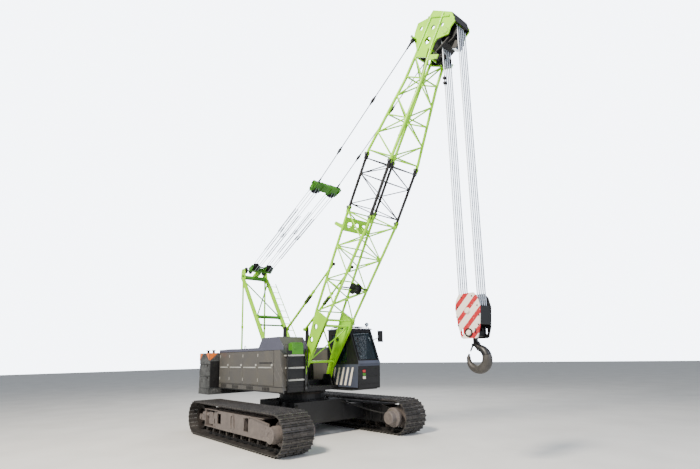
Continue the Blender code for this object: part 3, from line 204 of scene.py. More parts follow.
def plain(name, colour, roughness, metallic=0.0, grain_mm=3.0, strength=0.1, slot="black_paint", **sockets):
    """A small-area finish: one colour with a fine grain."""
    material, tree, shader, place = blank(name)
    grain = add(tree, "ShaderNodeTexNoise", {"Vector": place, "Scale": 1000 / grain_mm})
    bump = add(tree, "ShaderNodeBump",
               {"Height": grain.outputs["Fac"], "Strength": strength, "Distance": 0.002})
    tree.links.new(bump.outputs["Normal"], shader.inputs["Normal"])
    shader.inputs["Base Color"].default_value = linear(colour)
    shader.inputs["Roughness"].default_value = roughness
    shader.inputs["Metallic"].default_value = metallic
    for socket, value in sockets.items():
        shader.inputs[socket.replace("_", " ")].default_value = value
    return material


FALL_ROPE = strand("galvanised_hoist_rope", "BCC6D6", "DDE5F0", 90, 0.1)
LUFF_ROPE = strand("greased_luffing_rope", "6C7482", "98A2B2", 90, 0.2)
GLASS = plain("tinted_float_glass", "16242C", 0.04, strength=0.0, slot="tinted_glass", IOR=1.52, Alpha=0.72)
RUBBER = plain("black_rubber", "121212", 0.75, strength=0.3)
VINYL = plain("seat_vinyl", "23242A", 0.6, grain_mm=6, strength=0.25, slot="seat_cloth")
LENS = plain("lamp_lens", "B8C8D8", 0.1, strength=0.05)
MIRROR = plain("mirror_glass", "C4CCD2", 0.03, metallic=1.0, strength=0.0)
ZINC = plain("zinc_plated_fixings", "A5A8AA", 0.35, metallic=0.9, strength=0.1)

# %% [markdown]
# ## Building shapes
# Every piece starts as a bmesh in the crane's own frame, where x is 0 on the slewing axis. Four small
# makers cover most of a crane: a block, a round bar, a plate cut to an outline and a bent tube. The last
# function turns a bmesh into an object at the origin, moves its mesh to the frame, smooths what is round,
# breaks the sharp edges with a bevel, and sets it to ride on a body.

# %% Shape makers


def block(bm, low, high, turn=None):
    size = [b - a for a, b in zip(low, high)]
    middle = Matrix.Translation([(a + b) / 2 for a, b in zip(low, high)])
    place = middle @ (turn or Matrix.Identity(4)) @ Matrix.Diagonal((*size, 1))
    return bmesh.ops.create_cube(bm, size=1, matrix=place)["verts"]


def bar(bm, start, end, radius, end_radius=None, sides=14):
    start, end = Vector(start), Vector(end)
    axis = end - start
    place = Matrix.Translation((start + end) / 2) @ axis.to_track_quat("Z", "Y").to_matrix().to_4x4()
    return bmesh.ops.create_cone(bm, cap_ends=True, segments=sides, radius1=radius, depth=axis.length,
                                 radius2=radius if end_radius is None else end_radius, matrix=place)["verts"]


def circle(centre, radius, count=20):
    turns = [math.tau * i / count for i in range(count)]
    return [(centre[0] + radius * math.cos(t), centre[1] + radius * math.sin(t)) for t in turns]


def cut_plate(bm, loops, to_place, thickness):
    """A plate from an outline and its holes, each a list of pairs. to_place turns a pair into a point."""
    edges = []
    for loop in loops:
        corners = [bm.verts.new(to_place(a, b)) for a, b in loop]
        edges += [bm.edges.new(pair) for pair in zip(corners, corners[1:] + corners[:1])]
    filled = bmesh.ops.triangle_fill(bm, use_beauty=True, use_dissolve=False, edges=edges)["geom"]
    faces = [part for part in filled if isinstance(part, bmesh.types.BMFace)]
    grown = bmesh.ops.extrude_face_region(bm, geom=faces)["geom"]
    moved = [part for part in grown if isinstance(part, bmesh.types.BMVert)]
    bmesh.ops.translate(bm, verts=moved, vec=Vector((0, thickness, 0)))


def upright(y):
    """Places (x, z) pairs on the upright plane at y."""
    return lambda a, b: Vector((a, y, b))


def bent_tube(bm, points, radius, radii=None, resolution=3, smooth=True):
    """A tube along a curve through the points, added to the bmesh."""
    curve = bpy.data.curves.new("route", "CURVE")
    curve.dimensions = "3D"
    curve.bevel_depth = radius
    curve.bevel_resolution = resolution
    curve.use_fill_caps = True
    curve.resolution_u = 4
    line = curve.splines.new("NURBS" if smooth else "POLY")
    line.points.add(len(points) - 1)
    for i, point in enumerate(points):
        line.points[i].co = (*point, 1)
        line.points[i].radius = radii[i] if radii else 1.0
    if smooth:
        line.order_u = 3
        line.use_endpoint_u = True
    holder = bpy.data.objects.new("route", curve)
    mesh = bpy.data.meshes.new_from_object(holder)
    bm.from_mesh(mesh)
    bpy.data.objects.remove(holder)
    bpy.data.meshes.remove(mesh)
    bmesh.ops.remove_doubles(bm, verts=bm.verts, dist=1e-5)


def piece(name, bm, material, body, bevel=0.0, instead_of=(), sharp=35.0):
    bmesh.ops.recalc_face_normals(bm, faces=bm.faces)
    bmesh.ops.translate(bm, verts=bm.verts, vec=(SHIFT, 0, 0))
    mesh = bpy.data.meshes.new(name)
    bm.to_mesh(mesh)
    bm.free()
    mesh.polygons.foreach_set("use_smooth", [True] * len(mesh.polygons))
    mesh.set_sharp_from_angle(angle=math.radians(sharp))
    mesh.materials.append(material)
    made = bpy.data.objects.new(name, mesh)
    bpy.context.scene.collection.objects.link(made)
    if bevel:
        edge = made.modifiers.new("edge", "BEVEL")
        edge.width = bevel
        edge.segments = 2
        edge.limit_method = "ANGLE"
        edge.angle_limit = math.radians(40)
        edge.harden_normals = False
    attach(made, body)
    if instead_of:
        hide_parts(*instead_of)
    print(f"{name}: {len(mesh.polygons)} faces on {body}")
    return made


def repaint(material, *nodes):
    """Gives CAD solids whose shape is right a finish in place of their plain one."""
    for name in nodes:
        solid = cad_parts[name]
        for slot in solid.material_slots:
            slot.material = material
    print(material.name, "on", ", ".join(nodes))


SIDES = (("R", -1), ("L", 1))

# %% [markdown]
# ## Track shoes
# A track is a chain of flat shoes, each with a raised bar, the grouser, that bites the ground. Here one
# shoe is shaped once, with its grouser in four lengths, its two chain links and its bolts, and set round
# the loop again and again. The loop is two straights and two half circles, so a distance along it gives a
# place and a turn.

# %% Tracks
TRACK_Y = 2.21
SHOE_WIDTH = 0.93
TRACK_RADIUS = 0.55
WHEEL_FRONT_X = 2.57
WHEEL_REAR_X = -2.51
SHOE_COUNT = 88
straight = WHEEL_FRONT_X - WHEEL_REAR_X
loop_length = 2 * straight + math.tau * TRACK_RADIUS
pitch = loop_length / SHOE_COUNT


def one_shoe():
    bm = bmesh.new()
    half = SHOE_WIDTH / 2
    plate = block(bm, (-pitch * 0.44, -half, 0.037), (pitch * 0.44, half, 0.062))
    tips = [v for v in plate if abs(v.co.y) > half - 0.01 and v.co.z < 0.05]
    bmesh.ops.scale(bm, vec=(0.8, 0.99, 1), verts=tips)
    for low, high in ((-0.46, -0.25), (-0.21, -0.03), (0.03, 0.21), (0.25, 0.46)):
        grouser = block(bm, (-0.022, low, 0.001), (0.022, high, 0.040))
        bmesh.ops.scale(bm, vec=(0.6, 1, 1), verts=[v for v in grouser if v.co.z < 0.01])
    for y in (-0.14, 0.14):
        block(bm, (-pitch * 0.5, y - 0.03, 0.06), (pitch * 0.42, y + 0.03, 0.148))
    mesh = bpy.data.meshes.new("one_shoe")
    bm.to_mesh(mesh)
    bm.free()
    return mesh


def shoe_place(distance):
    """Where a shoe sits that far round the loop: its outer face at the loop, its bars outwards."""
    if distance < straight:
        return Vector((WHEEL_REAR_X + distance, 0, 0)), 0.0
    distance -= straight
    if distance < math.pi * TRACK_RADIUS:
        turn = distance / TRACK_RADIUS
        return Vector((WHEEL_FRONT_X + TRACK_RADIUS * math.sin(turn), 0,
                       TRACK_RADIUS * (1 - math.cos(turn)))), turn
    distance -= math.pi * TRACK_RADIUS
    if distance < straight:
        return Vector((WHEEL_FRONT_X - distance, 0, 2 * TRACK_RADIUS)), math.pi
    turn = math.pi + (distance - straight) / TRACK_RADIUS
    return Vector((WHEEL_REAR_X + TRACK_RADIUS * math.sin(turn), 0,
                   TRACK_RADIUS * (1 - math.cos(turn)))), turn


shoe = one_shoe()
for tag, side in SIDES:
    bm = bmesh.new()
    for i in range(SHOE_COUNT):
        start = len(bm.verts)
        bm.from_mesh(shoe)
        bm.verts.ensure_lookup_table()
        at, turn = shoe_place((i + 0.5) * pitch)
        place = Matrix.Translation(at + Vector((0, side * TRACK_Y, 0))) @ Matrix.Rotation(-turn, 4, "Y")
        bmesh.ops.transform(bm, matrix=place, verts=bm.verts[start:])
    piece(f"track_shoes_{tag}", bm, SHOE_STEEL, "undercarriage", instead_of=[f"track_{tag}"])

# %% [markdown]
# ## Wheels of the track
# The front wheel is the sprocket: a toothed rim on a planetary hub whose bolted cover stands proud of the
# shoes. The rear wheel is the idler, a smooth drum on a fork. Both are round about one axis, so a half-
# section is drawn once and spun a full turn.

# %% Sprockets, idlers and drive motors


def spun(bm, profile, centre):
    """Turns a profile of (radius, y) pairs about the Y axis through the centre."""
    x, z = centre
    ends = [bm.verts.new((x + r, y, z)) for r, y in profile]
    edges = [bm.edges.new(pair) for pair in zip(ends, ends[1:])]
    bmesh.ops.spin(bm, geom=[*ends, *edges], cent=(x, 0, z), axis=(0, 1, 0), angle=math.tau, steps=32,
                   use_merge=True)
    bmesh.ops.remove_doubles(bm, verts=bm.verts, dist=1e-5)


def ring_of_bolts(bm, centre, radius, y_from, y_to, count, size):
    for x, z in circle(centre, radius, count):
        bar(bm, (x, y_from, z), (x, y_to, z), size, sides=6)


WHEEL_Z = TRACK_RADIUS
for tag, side in SIDES:
    y = side * TRACK_Y
    bm = bmesh.new()
    spun(bm, [(0, y - 0.2 * side), (0.33, y - 0.2 * side), (0.33, y - 0.06 * side), (0.30, y),
              (0.33, y + 0.06 * side),
              (0.33, y + 0.2 * side), (0.22, y + 0.2 * side), (0.22, y + 0.44 * side),
              (0.205, y + 0.47 * side),
              (0.205, y + 0.545 * side), (0.17, y + 0.56 * side), (0.08, y + 0.56 * side),
              (0.08, y + 0.545 * side),
              (0, y + 0.545 * side)], (WHEEL_FRONT_X, WHEEL_Z))
    for x, z in circle((WHEEL_FRONT_X, WHEEL_Z), 0.355, 19):
        bar(bm, (x, y - 0.05, z), (x, y + 0.05, z), 0.042, sides=8)
    ring_of_bolts(bm, (WHEEL_FRONT_X, WHEEL_Z), 0.14, y + 0.55 * side, y + 0.564 * side, 10, 0.016)
    piece(f"sprocket_wheel_{tag}", bm, FRAME_STEEL, "undercarriage", 0.004, [f"drive_sprocket_{tag}"])
    bm = bmesh.new()
    spun(bm, [(0, y - 0.22), (0.09, y - 0.22), (0.09, y - 0.08), (0.28, y - 0.06), (0.30, y - 0.2),
              (0.385, y - 0.2),
              (0.395, y - 0.18), (0.395, y - 0.09), (0.37, y - 0.08), (0.37, y + 0.08), (0.395, y + 0.09),
              (0.395, y + 0.18), (0.385, y + 0.2), (0.30, y + 0.2), (0.28, y + 0.06), (0.09, y + 0.08),
              (0.09, y + 0.22), (0, y + 0.22)], (WHEEL_REAR_X, WHEEL_Z))
    piece(f"idler_wheel_{tag}", bm, DARK_STEEL, "undercarriage", 0.004, [f"idler_{tag}"])
    inner = side * 1.82
    bm = bmesh.new()
    spun(bm, [(0, inner - 0.002 * side), (0.29, inner - 0.002 * side), (0.30, inner - 0.02 * side),
              (0.30, inner - 0.14 * side), (0.24, inner - 0.16 * side), (0.20, inner - 0.17 * side),
              (0.20, inner - 0.33 * side), (0.18, inner - 0.355 * side), (0, inner - 0.355 * side)],
         (WHEEL_FRONT_X, WHEEL_Z))
    ring_of_bolts(bm, (WHEEL_FRONT_X, WHEEL_Z), 0.262, inner - 0.13 * side, inner - 0.162 * side, 16, 0.014)
    piece(f"drive_motor_{tag}", bm, FRAME_STEEL, "undercarriage", 0.004, [f"travel_motor_{tag}"])

# %% [markdown]
# ## Track frames and rollers
# The frame is a box of welded plate. Its outer plate has two windows, a lifting handle and a step, and a
# row of flanged rollers carries the machine on the chain below. At the rear a grease cylinder pushes the
# idler's fork to tension the track.

# %% Track frames
ROLLER_FIRST_X = -1.71
ROLLER_STEP = 0.476
for tag, side in SIDES:
    outer, inner = side * 2.60, side * 1.82
    bm = bmesh.new()
    skin = [(-0.95, 0.34), (2.27, 0.34), (2.27, 0.78), (1.45, 0.885), (-0.80, 0.885), (-0.95, 0.80)]
    windows = [[(-0.86, 0.50), (-0.60, 0.50), (-0.60, 0.80), (-0.86, 0.80)],
               [(0.88, 0.46), (1.16, 0.46), (1.16, 0.82), (0.88, 0.82)]]
    cut_plate(bm, [skin, *windows], upright(min(outer, outer - 0.04 * side)), 0.04)
    for z in (0.34, 0.86):
        low, high = sorted((inner + 0.01 * side, outer - 0.02 * side))
        block(bm, (-1.86, low, z), (1.95, high, z + 0.025))
    for x in (-1.84, -0.55, 0.2, 0.84, 1.2):
        low, high = sorted((inner, outer - 0.03 * side))
        block(bm, (x, low, 0.35), (x + 0.03, high, 0.87))
    ledge = [(1.25, 0.90), (2.24, 0.78), (2.24, 0.76), (1.25, 0.88)]
    cut_plate(bm, [ledge], upright(min(outer, outer + 0.03 * side)), 0.03)
    slots = [[(x - 0.03, 0.45), (x + 0.03, 0.45), (x + 0.03, 0.60), (x - 0.03, 0.60)]
             for x in (-1.24, -1.10)]
    bracket = [(-1.34, 0.36), (-1.00, 0.36), (-1.00, 0.70), (-1.10, 0.84), (-1.22, 0.84), (-1.34, 0.66)]
    cut_plate(bm, [bracket, *slots], upright(min(outer - 0.08 * side, outer - 0.10 * side)), 0.02)
    piece(f"track_box_{tag}", bm, FRAME_STEEL, "undercarriage", 0.004, [f"track_frame_{tag}"])
    bm = bmesh.new()
    cut_plate(bm, [[(-1.86, 0.34), (2.60, 0.34), (2.60, 0.76), (2.0, 0.885), (-1.86, 0.885)]],
              upright(min(inner, inner + 0.05 * side)), 0.05)
    for x in (-1.5, 1.45, 1.9):
        low, high = sorted((inner - 0.05 * side, inner + 0.01 * side))
        block(bm, (x, low, 0.40), (x + 0.03, high, 0.84))
    piece(f"track_inner_plate_{tag}", bm, BLACK, "undercarriage", 0.004)

    bm = bmesh.new()
    for i in range(9):
        x = ROLLER_FIRST_X + ROLLER_STEP * i
        y = side * TRACK_Y
        spun(bm, [(0, y - 0.34), (0.05, y - 0.34), (0.05, y - 0.25), (0.094, y - 0.24), (0.094, y - 0.10),
                  (0.08, y - 0.09), (0.08, y + 0.09), (0.094, y + 0.10), (0.094, y + 0.24), (0.05, y + 0.25),
                  (0.05, y + 0.34), (0, y + 0.34)], (x, 0.245))
        for end in (y - 0.31, y + 0.28):
            arch = [(x - 0.10, 0.36), (x - 0.075, 0.20), (x + 0.075, 0.20), (x + 0.10, 0.36)]
            cut_plate(bm, [arch], upright(end), 0.03)
    low, high = sorted((side * (TRACK_Y - 0.3), side * (TRACK_Y + 0.3)))
    for x in (-1.84, 0.2, 1.9):
        block(bm, (x, low, 0.30), (x + 0.24, high, 0.345))
    piece(f"track_rollers_{tag}", bm, DARK_STEEL, "undercarriage")

    bm = bmesh.new()
    for y in (side * 1.98, side * 2.40):
        block(bm, (-2.62, y - 0.035, 0.46), (-1.80, y + 0.035, 0.64))
        bar(bm, (WHEEL_REAR_X, y - 0.06, WHEEL_Z), (WHEEL_REAR_X, y + 0.06, WHEEL_Z), 0.075)
    y = side * TRACK_Y
    for start, end, radius in ((-2.16, -1.84, 0.085), (-2.10, -2.04, 0.12), (-1.98, -1.90, 0.115)):
        bar(bm, (start, y, WHEEL_Z), (end, y, WHEEL_Z), radius, sides=20)
    bar(bm, (-2.14, side * 2.47, 0.70), (-1.62, side * 2.47, 0.70), 0.07, sides=16)
    bar(bm, (-1.98, side * 2.47, 0.70), (-1.90, side * 2.47, 0.70), 0.09, sides=16)
    bar(bm, (-1.66, side * 2.47, 0.55), (-1.30, side * 2.47, 0.55), 0.05, sides=16)
    block(bm, (-1.64, side * 2.47 - 0.05, 0.42), (-1.36, side * 2.47 + 0.05, 0.80))
    piece(f"track_tensioner_{tag}", bm, FRAME_STEEL, "undercarriage", 0.006)

    bm = bmesh.new()
    front = side * 2.615
    bent_tube(bm, [(0.10, front, 0.50), (0.10, front, 0.70), (0.12, front, 0.80), (0.20, front, 0.84),
                   (0.28, front, 0.80), (0.30, front, 0.70), (0.30, front, 0.50)], 0.013)
    for x in (0.10, 0.30):
        block(bm, (x - 0.035, min(outer, outer + 0.02 * side), 0.46),
              (x + 0.035, max(outer, outer + 0.02 * side), 0.53))
    bent_tube(bm, [(0.94, front, 0.56), (0.94, front, 0.74), (1.00, front, 0.83), (1.14, front, 0.87),
                   (1.26, front, 0.84)], 0.014)
    ring_of_bolts(bm, (2.05, 0.56), 0.13, outer, outer + 0.012 * side, 6, 0.014)
    piece(f"track_handles_{tag}", bm, FRAME_STEEL, "undercarriage")

# %% [markdown]
# ## Carbody and slewing ring
# The cast carbody ties the tracks together and carries the slewing ring, a large ball bearing with a
# toothed rim and a close ring of bolts. The solids are right, so they are repainted, and the rim, bolts,
# jacking feet and hoses are added.

# %% Carbody trim
repaint(BLACK, "carbody", "slew_ring")
bm = bmesh.new()
for x, y in circle((0, 0), 0.73, 72):
    block(bm, (x - 0.014, y - 0.014, 1.17), (x + 0.014, y + 0.014, 1.28))
for x, y in circle((0, 0), 0.86, 36):
    bar(bm, (x, y, 1.118), (x, y, 1.15), 0.018, sides=6)
bar(bm, (0, 0, 1.30), (0, 0, 1.36), 0.79, sides=48)
piece("slewing_gear", bm, DARK_STEEL, "undercarriage", 0.003)
bm = bmesh.new()
for x in (-0.74, 0.74):
    for side in (-1, 1):
        for end in (-0.30, 0.30):
            block(bm, (x + end - 0.012, side * 1.36 - 0.42, 0.44),
                  (x + end + 0.012, side * 1.36 + 0.42, 0.915))
        bar(bm, (x, side * 1.25, 0.90), (x, side * 1.25, 0.96), 0.11, sides=20)
for side in (-1, 1):
    bar(bm, (0.19, side * 1.06, 1.00), (0.19, side * 1.06, 1.12), 0.075, sides=20)
    bar(bm, (0.60, side * 1.10, 0.95), (0.60, side * 1.10, 1.12), 0.05, sides=16)
piece("carbody_ribs", bm, BLACK, "undercarriage", 0.005)
bm = bmesh.new()
for side in (-1, 1):
    for i in range(3):
        bent_tube(bm, [(0.55 + 0.06 * i, side * 0.4, 1.06), (0.9, side * 0.8, 1.10 - 0.02 * i),
                       (1.35 + 0.05 * i, side * 1.15, 0.90), (1.9, side * 1.42, 0.72),
                       (2.45, side * 1.56, 0.66)], 0.018)
piece("travel_hoses", bm, RUBBER, "undercarriage")

# %% [markdown]
# ## Turning deck and winches
# The deck is one heavy plate frame, so its solid stays and is painted. Each winch drum is a grooved barrel
# between two flanges, and the rope lies on it in touching turns. The turns are rings, set side by side in
# two layers, because a drum's helix is too fine to tell from rings at this size.

# %% Deck and drums
repaint(BLACK, "revolving_deck")
ROPE_LAY = 0.024
for name, x, z, body in (("hoist_drum", -1.15, 2.16, "hoist_drum"), ("luff_drum", -2.35, 2.16, "luff_drum")):
    low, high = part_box(name)
    radius = (high.z - low.z) / 2
    half = (high.y - low.y) / 2
    core = radius * 0.62
    bm = bmesh.new()
    spun(bm, [(0, -half), (0.06, -half), (0.06, -half * 0.93), (radius * 0.5, -half * 0.93),
              (radius - 0.003, -half * 0.90),
              (radius - 0.003, -half * 0.82), (core, -half * 0.80), (core, half * 0.80),
              (radius - 0.003, half * 0.82),
              (radius - 0.003, half * 0.90), (radius * 0.5, half * 0.93), (0.06, half * 0.93), (0.06, half),
              (0, half)],
         (x, z))
    ring_of_bolts(bm, (x, z), radius * 0.75, -half * 0.93, -half * 0.88, 12, 0.012)
    piece(f"{name}_barrel", bm, BLACK, body, 0.003, [name])
    bm = bmesh.new()
    turns = int(half * 1.56 / ROPE_LAY)
    for layer in (0, 1):
        for i in range(turns - layer):
            y = -half * 0.78 + ROPE_LAY * (i + 0.5 + layer / 2)
            r = core + ROPE_LAY * (0.5 + 0.87 * layer)
            spun(bm, [(r - ROPE_LAY / 2, y), (r - 0.006, y + 0.010), (r + 0.006, y + 0.010),
                      (r + ROPE_LAY / 2, y),
                      (r + 0.006, y - 0.010), (r - 0.006, y - 0.010), (r - ROPE_LAY / 2, y)], (x, z))
    piece(f"{name}_rope", bm, LUFF_ROPE, body)

# %% [markdown]
# ## Machinery houses
# The houses are folded sheet on a frame, 1.5 mm thick and painted grey, with a bluer roof. The shells are
# right, so they keep their shape and take paint. Each door becomes a bevelled leaf with a long pull strip
# and a latch, and each roof gets its cap, a rain lip and louvres for the engine's air.

# %% House shells and doors
HOUSE_OUT = 1.54


def span(node):
    """A CAD node's box corners in the crane's frame."""
    low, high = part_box(node)
    return Vector((low.x - SHIFT, low.y, low.z)), Vector((high.x - SHIFT, high.y, high.z))


repaint(HOUSE_GREY, "house_R", "house_L")
for tag, side, doors in (("R", -1, (1, 2, 3, 4)), ("L", 1, (1, 2))):
    for number in doors:
        node = f"house_door_{tag}{number}"
        low, high = span(node)
        face = side * HOUSE_OUT
        inside, outside = sorted((face - side * 0.03, face))
        bm = bmesh.new()
        block(bm, (low.x, inside, low.z), (high.x, outside, high.z))
        piece(f"{node}_leaf", bm, HOUSE_GREY, node, 0.006, [node])
        bm = bmesh.new()
        low_y, high_y = sorted((face - side * 0.004, face + side * 0.012))
        block(bm, (low.x + 0.05, low_y, 2.155), (high.x - 0.12, high_y, 2.195))
        low_y, high_y = sorted((face - side * 0.004, face + side * 0.018))
        block(bm, (high.x - 0.13, low_y, 2.215), (high.x - 0.05, high_y, 2.285))
        for z in (1.78, 2.56):
            bar(bm, (low.x + 0.004, face, z - 0.05), (low.x + 0.004, face, z + 0.05), 0.012, sides=10)
        piece(f"{node}_pull", bm, LIGHT_GREY, node, 0.004)

# %% [markdown]
# The front bay of the right house is fixed. It carries slanted pressed ribs, a dark recess below the cowl
# and the steps up to the roof. The skirt, the seams and the roof cap run the whole length.

# %% House trim
bm = bmesh.new()
block(bm, (-3.16, -1.550, 2.705), (-0.20, -0.655, 2.806))
cowl = [(-0.225, 2.705), (1.276, 2.705), (1.276, 2.806), (1.006, 3.106), (0.015, 3.106), (-0.225, 2.806)]
for y in (-1.548, -0.664):
    cut_plate(bm, [cowl], upright(y), 0.010)
block(bm, (0.015, -1.548, 3.098), (1.006, -0.654, 3.106))
piece("roof_cap_R", bm, ROOF_GREY, "upperworks", 0.004)
bm = bmesh.new()
block(bm, (-3.16, 0.655, 2.705), (0.57, 1.550, 2.806))
piece("roof_cap_L", bm, ROOF_GREY, "upperworks", 0.004)
bm = bmesh.new()
for start, end in (((0.36, 2.69), (1.20, 1.76)), ((0.74, 2.69), (1.25, 2.05)), ((0.20, 2.60), (0.98, 1.70))):
    along = (Vector(end) - Vector(start)).normalized()
    across = Vector((-along.y, along.x)) * 0.013
    groove = [Vector(start) + across, Vector(end) + across, Vector(end) - across, Vector(start) - across]
    cut_plate(bm, [[tuple(p) for p in groove]], upright(-1.5445), 0.012)
piece("front_bay_ribs", bm, HOUSE_GREY, "upperworks", 0.003)
bm = bmesh.new()
for side, front in ((-1, 1.27), (1, 0.56)):
    low, high = sorted((side * 1.536, side * 1.546))
    block(bm, (-3.15, low, 1.592), (front, high, 1.606))
    block(bm, (-3.15, low, 1.425), (front, high, 1.455))
low, high = -1.546, -1.536
block(bm, (-0.16, low, 2.30), (0.62, high, 2.335))
block(bm, (0.716, low, 1.62), (0.724, high, 2.70))
for x in (-2.95, -2.05, -1.0, 0.05):
    for i in range(5):
        block(bm, (x + 0.09 * i, low, 1.47), (x + 0.09 * i + 0.05, high, 1.57))
piece("house_shadow_lines", bm, BLACK, "upperworks")

# %% [markdown]
# Louvres are pressed in rows so that rain runs off while air passes. Each is a small slanted blade.

# %% Louvres and lifting eyes
bm = bmesh.new()
for low, high in ((-1.40, -0.80), (0.80, 1.40)):
    for i in range(12):
        x = -2.95 + 0.055 * i
        blade = block(bm, (x, low, 2.803), (x + 0.035, high, 2.822))
        bmesh.ops.translate(bm, vec=(0.015, 0, 0), verts=[v for v in blade if v.co.z > 2.81])
for x in (-2.0, -0.6):
    for y in (-1.10, 1.10):
        bent_tube(bm, [(x - 0.06, y, 2.80), (x - 0.06, y, 2.88), (x, y, 2.93), (x + 0.06, y, 2.88),
                       (x + 0.06, y, 2.80)],
                  0.012)
piece("roof_louvres", bm, ROOF_GREY, "upperworks")

# %% [markdown]
# The steps are chequered plate on a black carrier at the front of the right house. A handrail of bent tube
# stands beside them.

# %% Front steps
bm = bmesh.new()
for z in (1.80, 2.16, 2.53):
    block(bm, (1.05, -1.40, z - 0.022), (1.335, -0.83, z + 0.024))
    for i in range(6):
        for j in range(3):
            x, y = 1.09 + 0.085 * j, -1.36 + 0.094 * i
            block(bm, (x, y, z + 0.023), (x + 0.045, y + 0.014, z + 0.030),
                  Matrix.Rotation(0.7 if (i + j) % 2 else -0.7, 4, "Z"))
piece("step_treads", bm, LIGHT_GREY, "upperworks", 0.003)
bm = bmesh.new()
block(bm, (1.266, -1.42, 1.46), (1.284, -0.80, 2.68))
for y in (-1.43, -0.80):
    cut_plate(bm, [[(1.26, 1.44), (1.33, 1.44), (1.33, 2.50), (1.26, 2.66)]], upright(y), 0.016)
for z in (1.52, 1.62):
    block(bm, (1.28, -1.38, z), (1.30, -0.84, z + 0.05))
piece("step_carrier", bm, BLACK, "upperworks", 0.003)
bm = bmesh.new()
block(bm, (1.08, -1.24, 2.56), (1.30, -0.84, 2.90))
block(bm, (1.10, -1.20, 2.90), (1.28, -0.88, 2.925))
bar(bm, (1.30, -1.16, 2.74), (1.315, -1.16, 2.74), 0.03, sides=16)
piece("front_tool_box", bm, SHADED_GREEN, "upperworks", 0.008)
bm = bmesh.new()
for y in (-1.46, -0.74):
    bent_tube(bm, [(1.29, y, 1.60), (1.36, y, 1.66), (1.37, y, 1.9), (1.37, y, 2.55), (1.36, y, 2.80),
                   (1.28, y, 2.86)],
              0.016)
piece("grab_rails", bm, BLACK, "upperworks")

# %% [markdown]
# The engine shows only with the doors open. It is a block with a rocker cover, a fan shroud, an intake and
# a tank, which is enough for what a door lets in.

# %% Engine
bm = bmesh.new()
block(bm, (-2.45, -1.30, 1.56), (-1.35, -0.92, 2.10))
block(bm, (-2.40, -1.24, 2.10), (-1.40, -0.98, 2.26))
block(bm, (-2.62, -1.34, 1.55), (-2.50, -0.86, 2.42))
bar(bm, (-2.50, -1.10, 1.98), (-2.42, -1.10, 1.98), 0.30, sides=24)
bar(bm, (-1.35, -1.10, 1.86), (-1.05, -1.10, 1.86), 0.18, 0.14, sides=24)
for i in range(6):
    bar(bm, (-2.30 + 0.17 * i, -1.31, 1.98), (-2.30 + 0.17 * i, -1.36, 1.98), 0.035, sides=12)
    bar(bm, (-2.30 + 0.17 * i, -1.11, 2.26), (-2.30 + 0.17 * i, -1.11, 2.30), 0.03, sides=12)
bar(bm, (-1.75, -1.33, 2.18), (-1.75, -0.88, 2.18), 0.06, sides=16)
bar(bm, (-1.05, -1.32, 2.30), (-1.05, -0.88, 2.30), 0.11, sides=20)
for x in (-2.3, -1.5):
    block(bm, (x - 0.05, -1.35, 1.503), (x + 0.05, -0.85, 1.57))
piece("diesel_engine", bm, WEIGHT_IRON, "upperworks", 0.008, ["engine_block"])

# %% [markdown]
# ## Counterweight
# The weights are slabs of cast iron stacked on a tray. Their faces are rough and mottled, a black sheet over
# the stack's front face is painted shade, and orange corners warn people who walk behind. Lifting bollards
# stand on top.

# %% Counterweight
repaint(WEIGHT_IRON, "counterweight_base")
for tag, side in SIDES:
    bm = bmesh.new()
    thick = (2.72 - 1.41) / 3
    for i in range(3):
        bottom = 1.4103 + thick * i
        low, high = sorted((side * 0.7003, side * 1.90))
        block(bm, (-4.15, low, bottom), (-3.24, high, bottom + thick - 0.016))
    low, high = sorted((side * 0.72, side * 1.88))
    block(bm, (-4.13, low, 1.42), (-3.26, high, 2.69))
    piece(f"weight_slabs_{tag}", bm, WEIGHT_IRON, "upperworks", 0.022, [f"counterweight_stack_{tag}"])
    face = side * 1.90
    bm = bmesh.new()
    plate_y = min(face, face + side * 0.006)
    for corner_x, into in ((-4.14, 1), (-3.25, -1)):
        cut_plate(bm, [[(corner_x, 2.695), (corner_x + into * 0.30, 2.695), (corner_x, 2.43)]],
                  upright(plate_y), 0.006)
    for x0 in (-4.156, -3.244):
        for y0, y1 in ((1.88, 1.58), (0.72, 1.02)):
            corners = [bm.verts.new((x, side * y, z)) for x in (x0, x0 + 0.010)
                       for y, z in ((y0, 2.695), (y1, 2.695), (y0, 2.43))]
            bmesh.ops.convex_hull(bm, input=corners)
    piece(f"weight_corner_paint_{tag}", bm, ORANGE, "upperworks")
    bm = bmesh.new()
    for x in (-3.95, -3.45):
        for y in (0.95, 1.65):
            bar(bm, (x, side * y, 2.69), (x, side * y, 2.79), 0.045, sides=20)
            bar(bm, (x, side * y, 2.79), (x, side * y, 2.815), 0.075, sides=20)
    for z in (1.80, 2.25):
        low, high = sorted((face - side * 0.01, face + side * 0.02))
        bar(bm, (-3.38, low, z), (-3.38, high, z), 0.04, sides=16)
    piece(f"weight_bollards_{tag}", bm, DARK_STEEL, "upperworks", 0.004)
    # A thin black sheet with bolts over the stack's front face: painted shade for the shadow on that face.
    bm = bmesh.new()
    low, high = sorted((side * 0.75, side * 1.86))
    block(bm, (-3.245, low, 1.46), (-3.222, high, 2.40))
    for y in (0.9, 1.3, 1.7):
        bar(bm, (-3.225, side * y, 1.7), (-3.21, side * y, 1.7), 0.03, sides=6)
        bar(bm, (-3.225, side * y, 2.2), (-3.21, side * y, 2.2), 0.03, sides=6)
    piece(f"weight_front_painted_shade_{tag}", bm, BLACK, "upperworks", 0.004)

# %% [markdown]
# ## Operator's cab
# The cab is a welded shell with a raked windscreen of tinted glass. The shell and the glass keep their
# solids. Rubber seals frame the glass, and a grey-blue band runs below the screen. Outside hang a wiper, a
# mirror, a work lamp, grab rails and a roof guard.

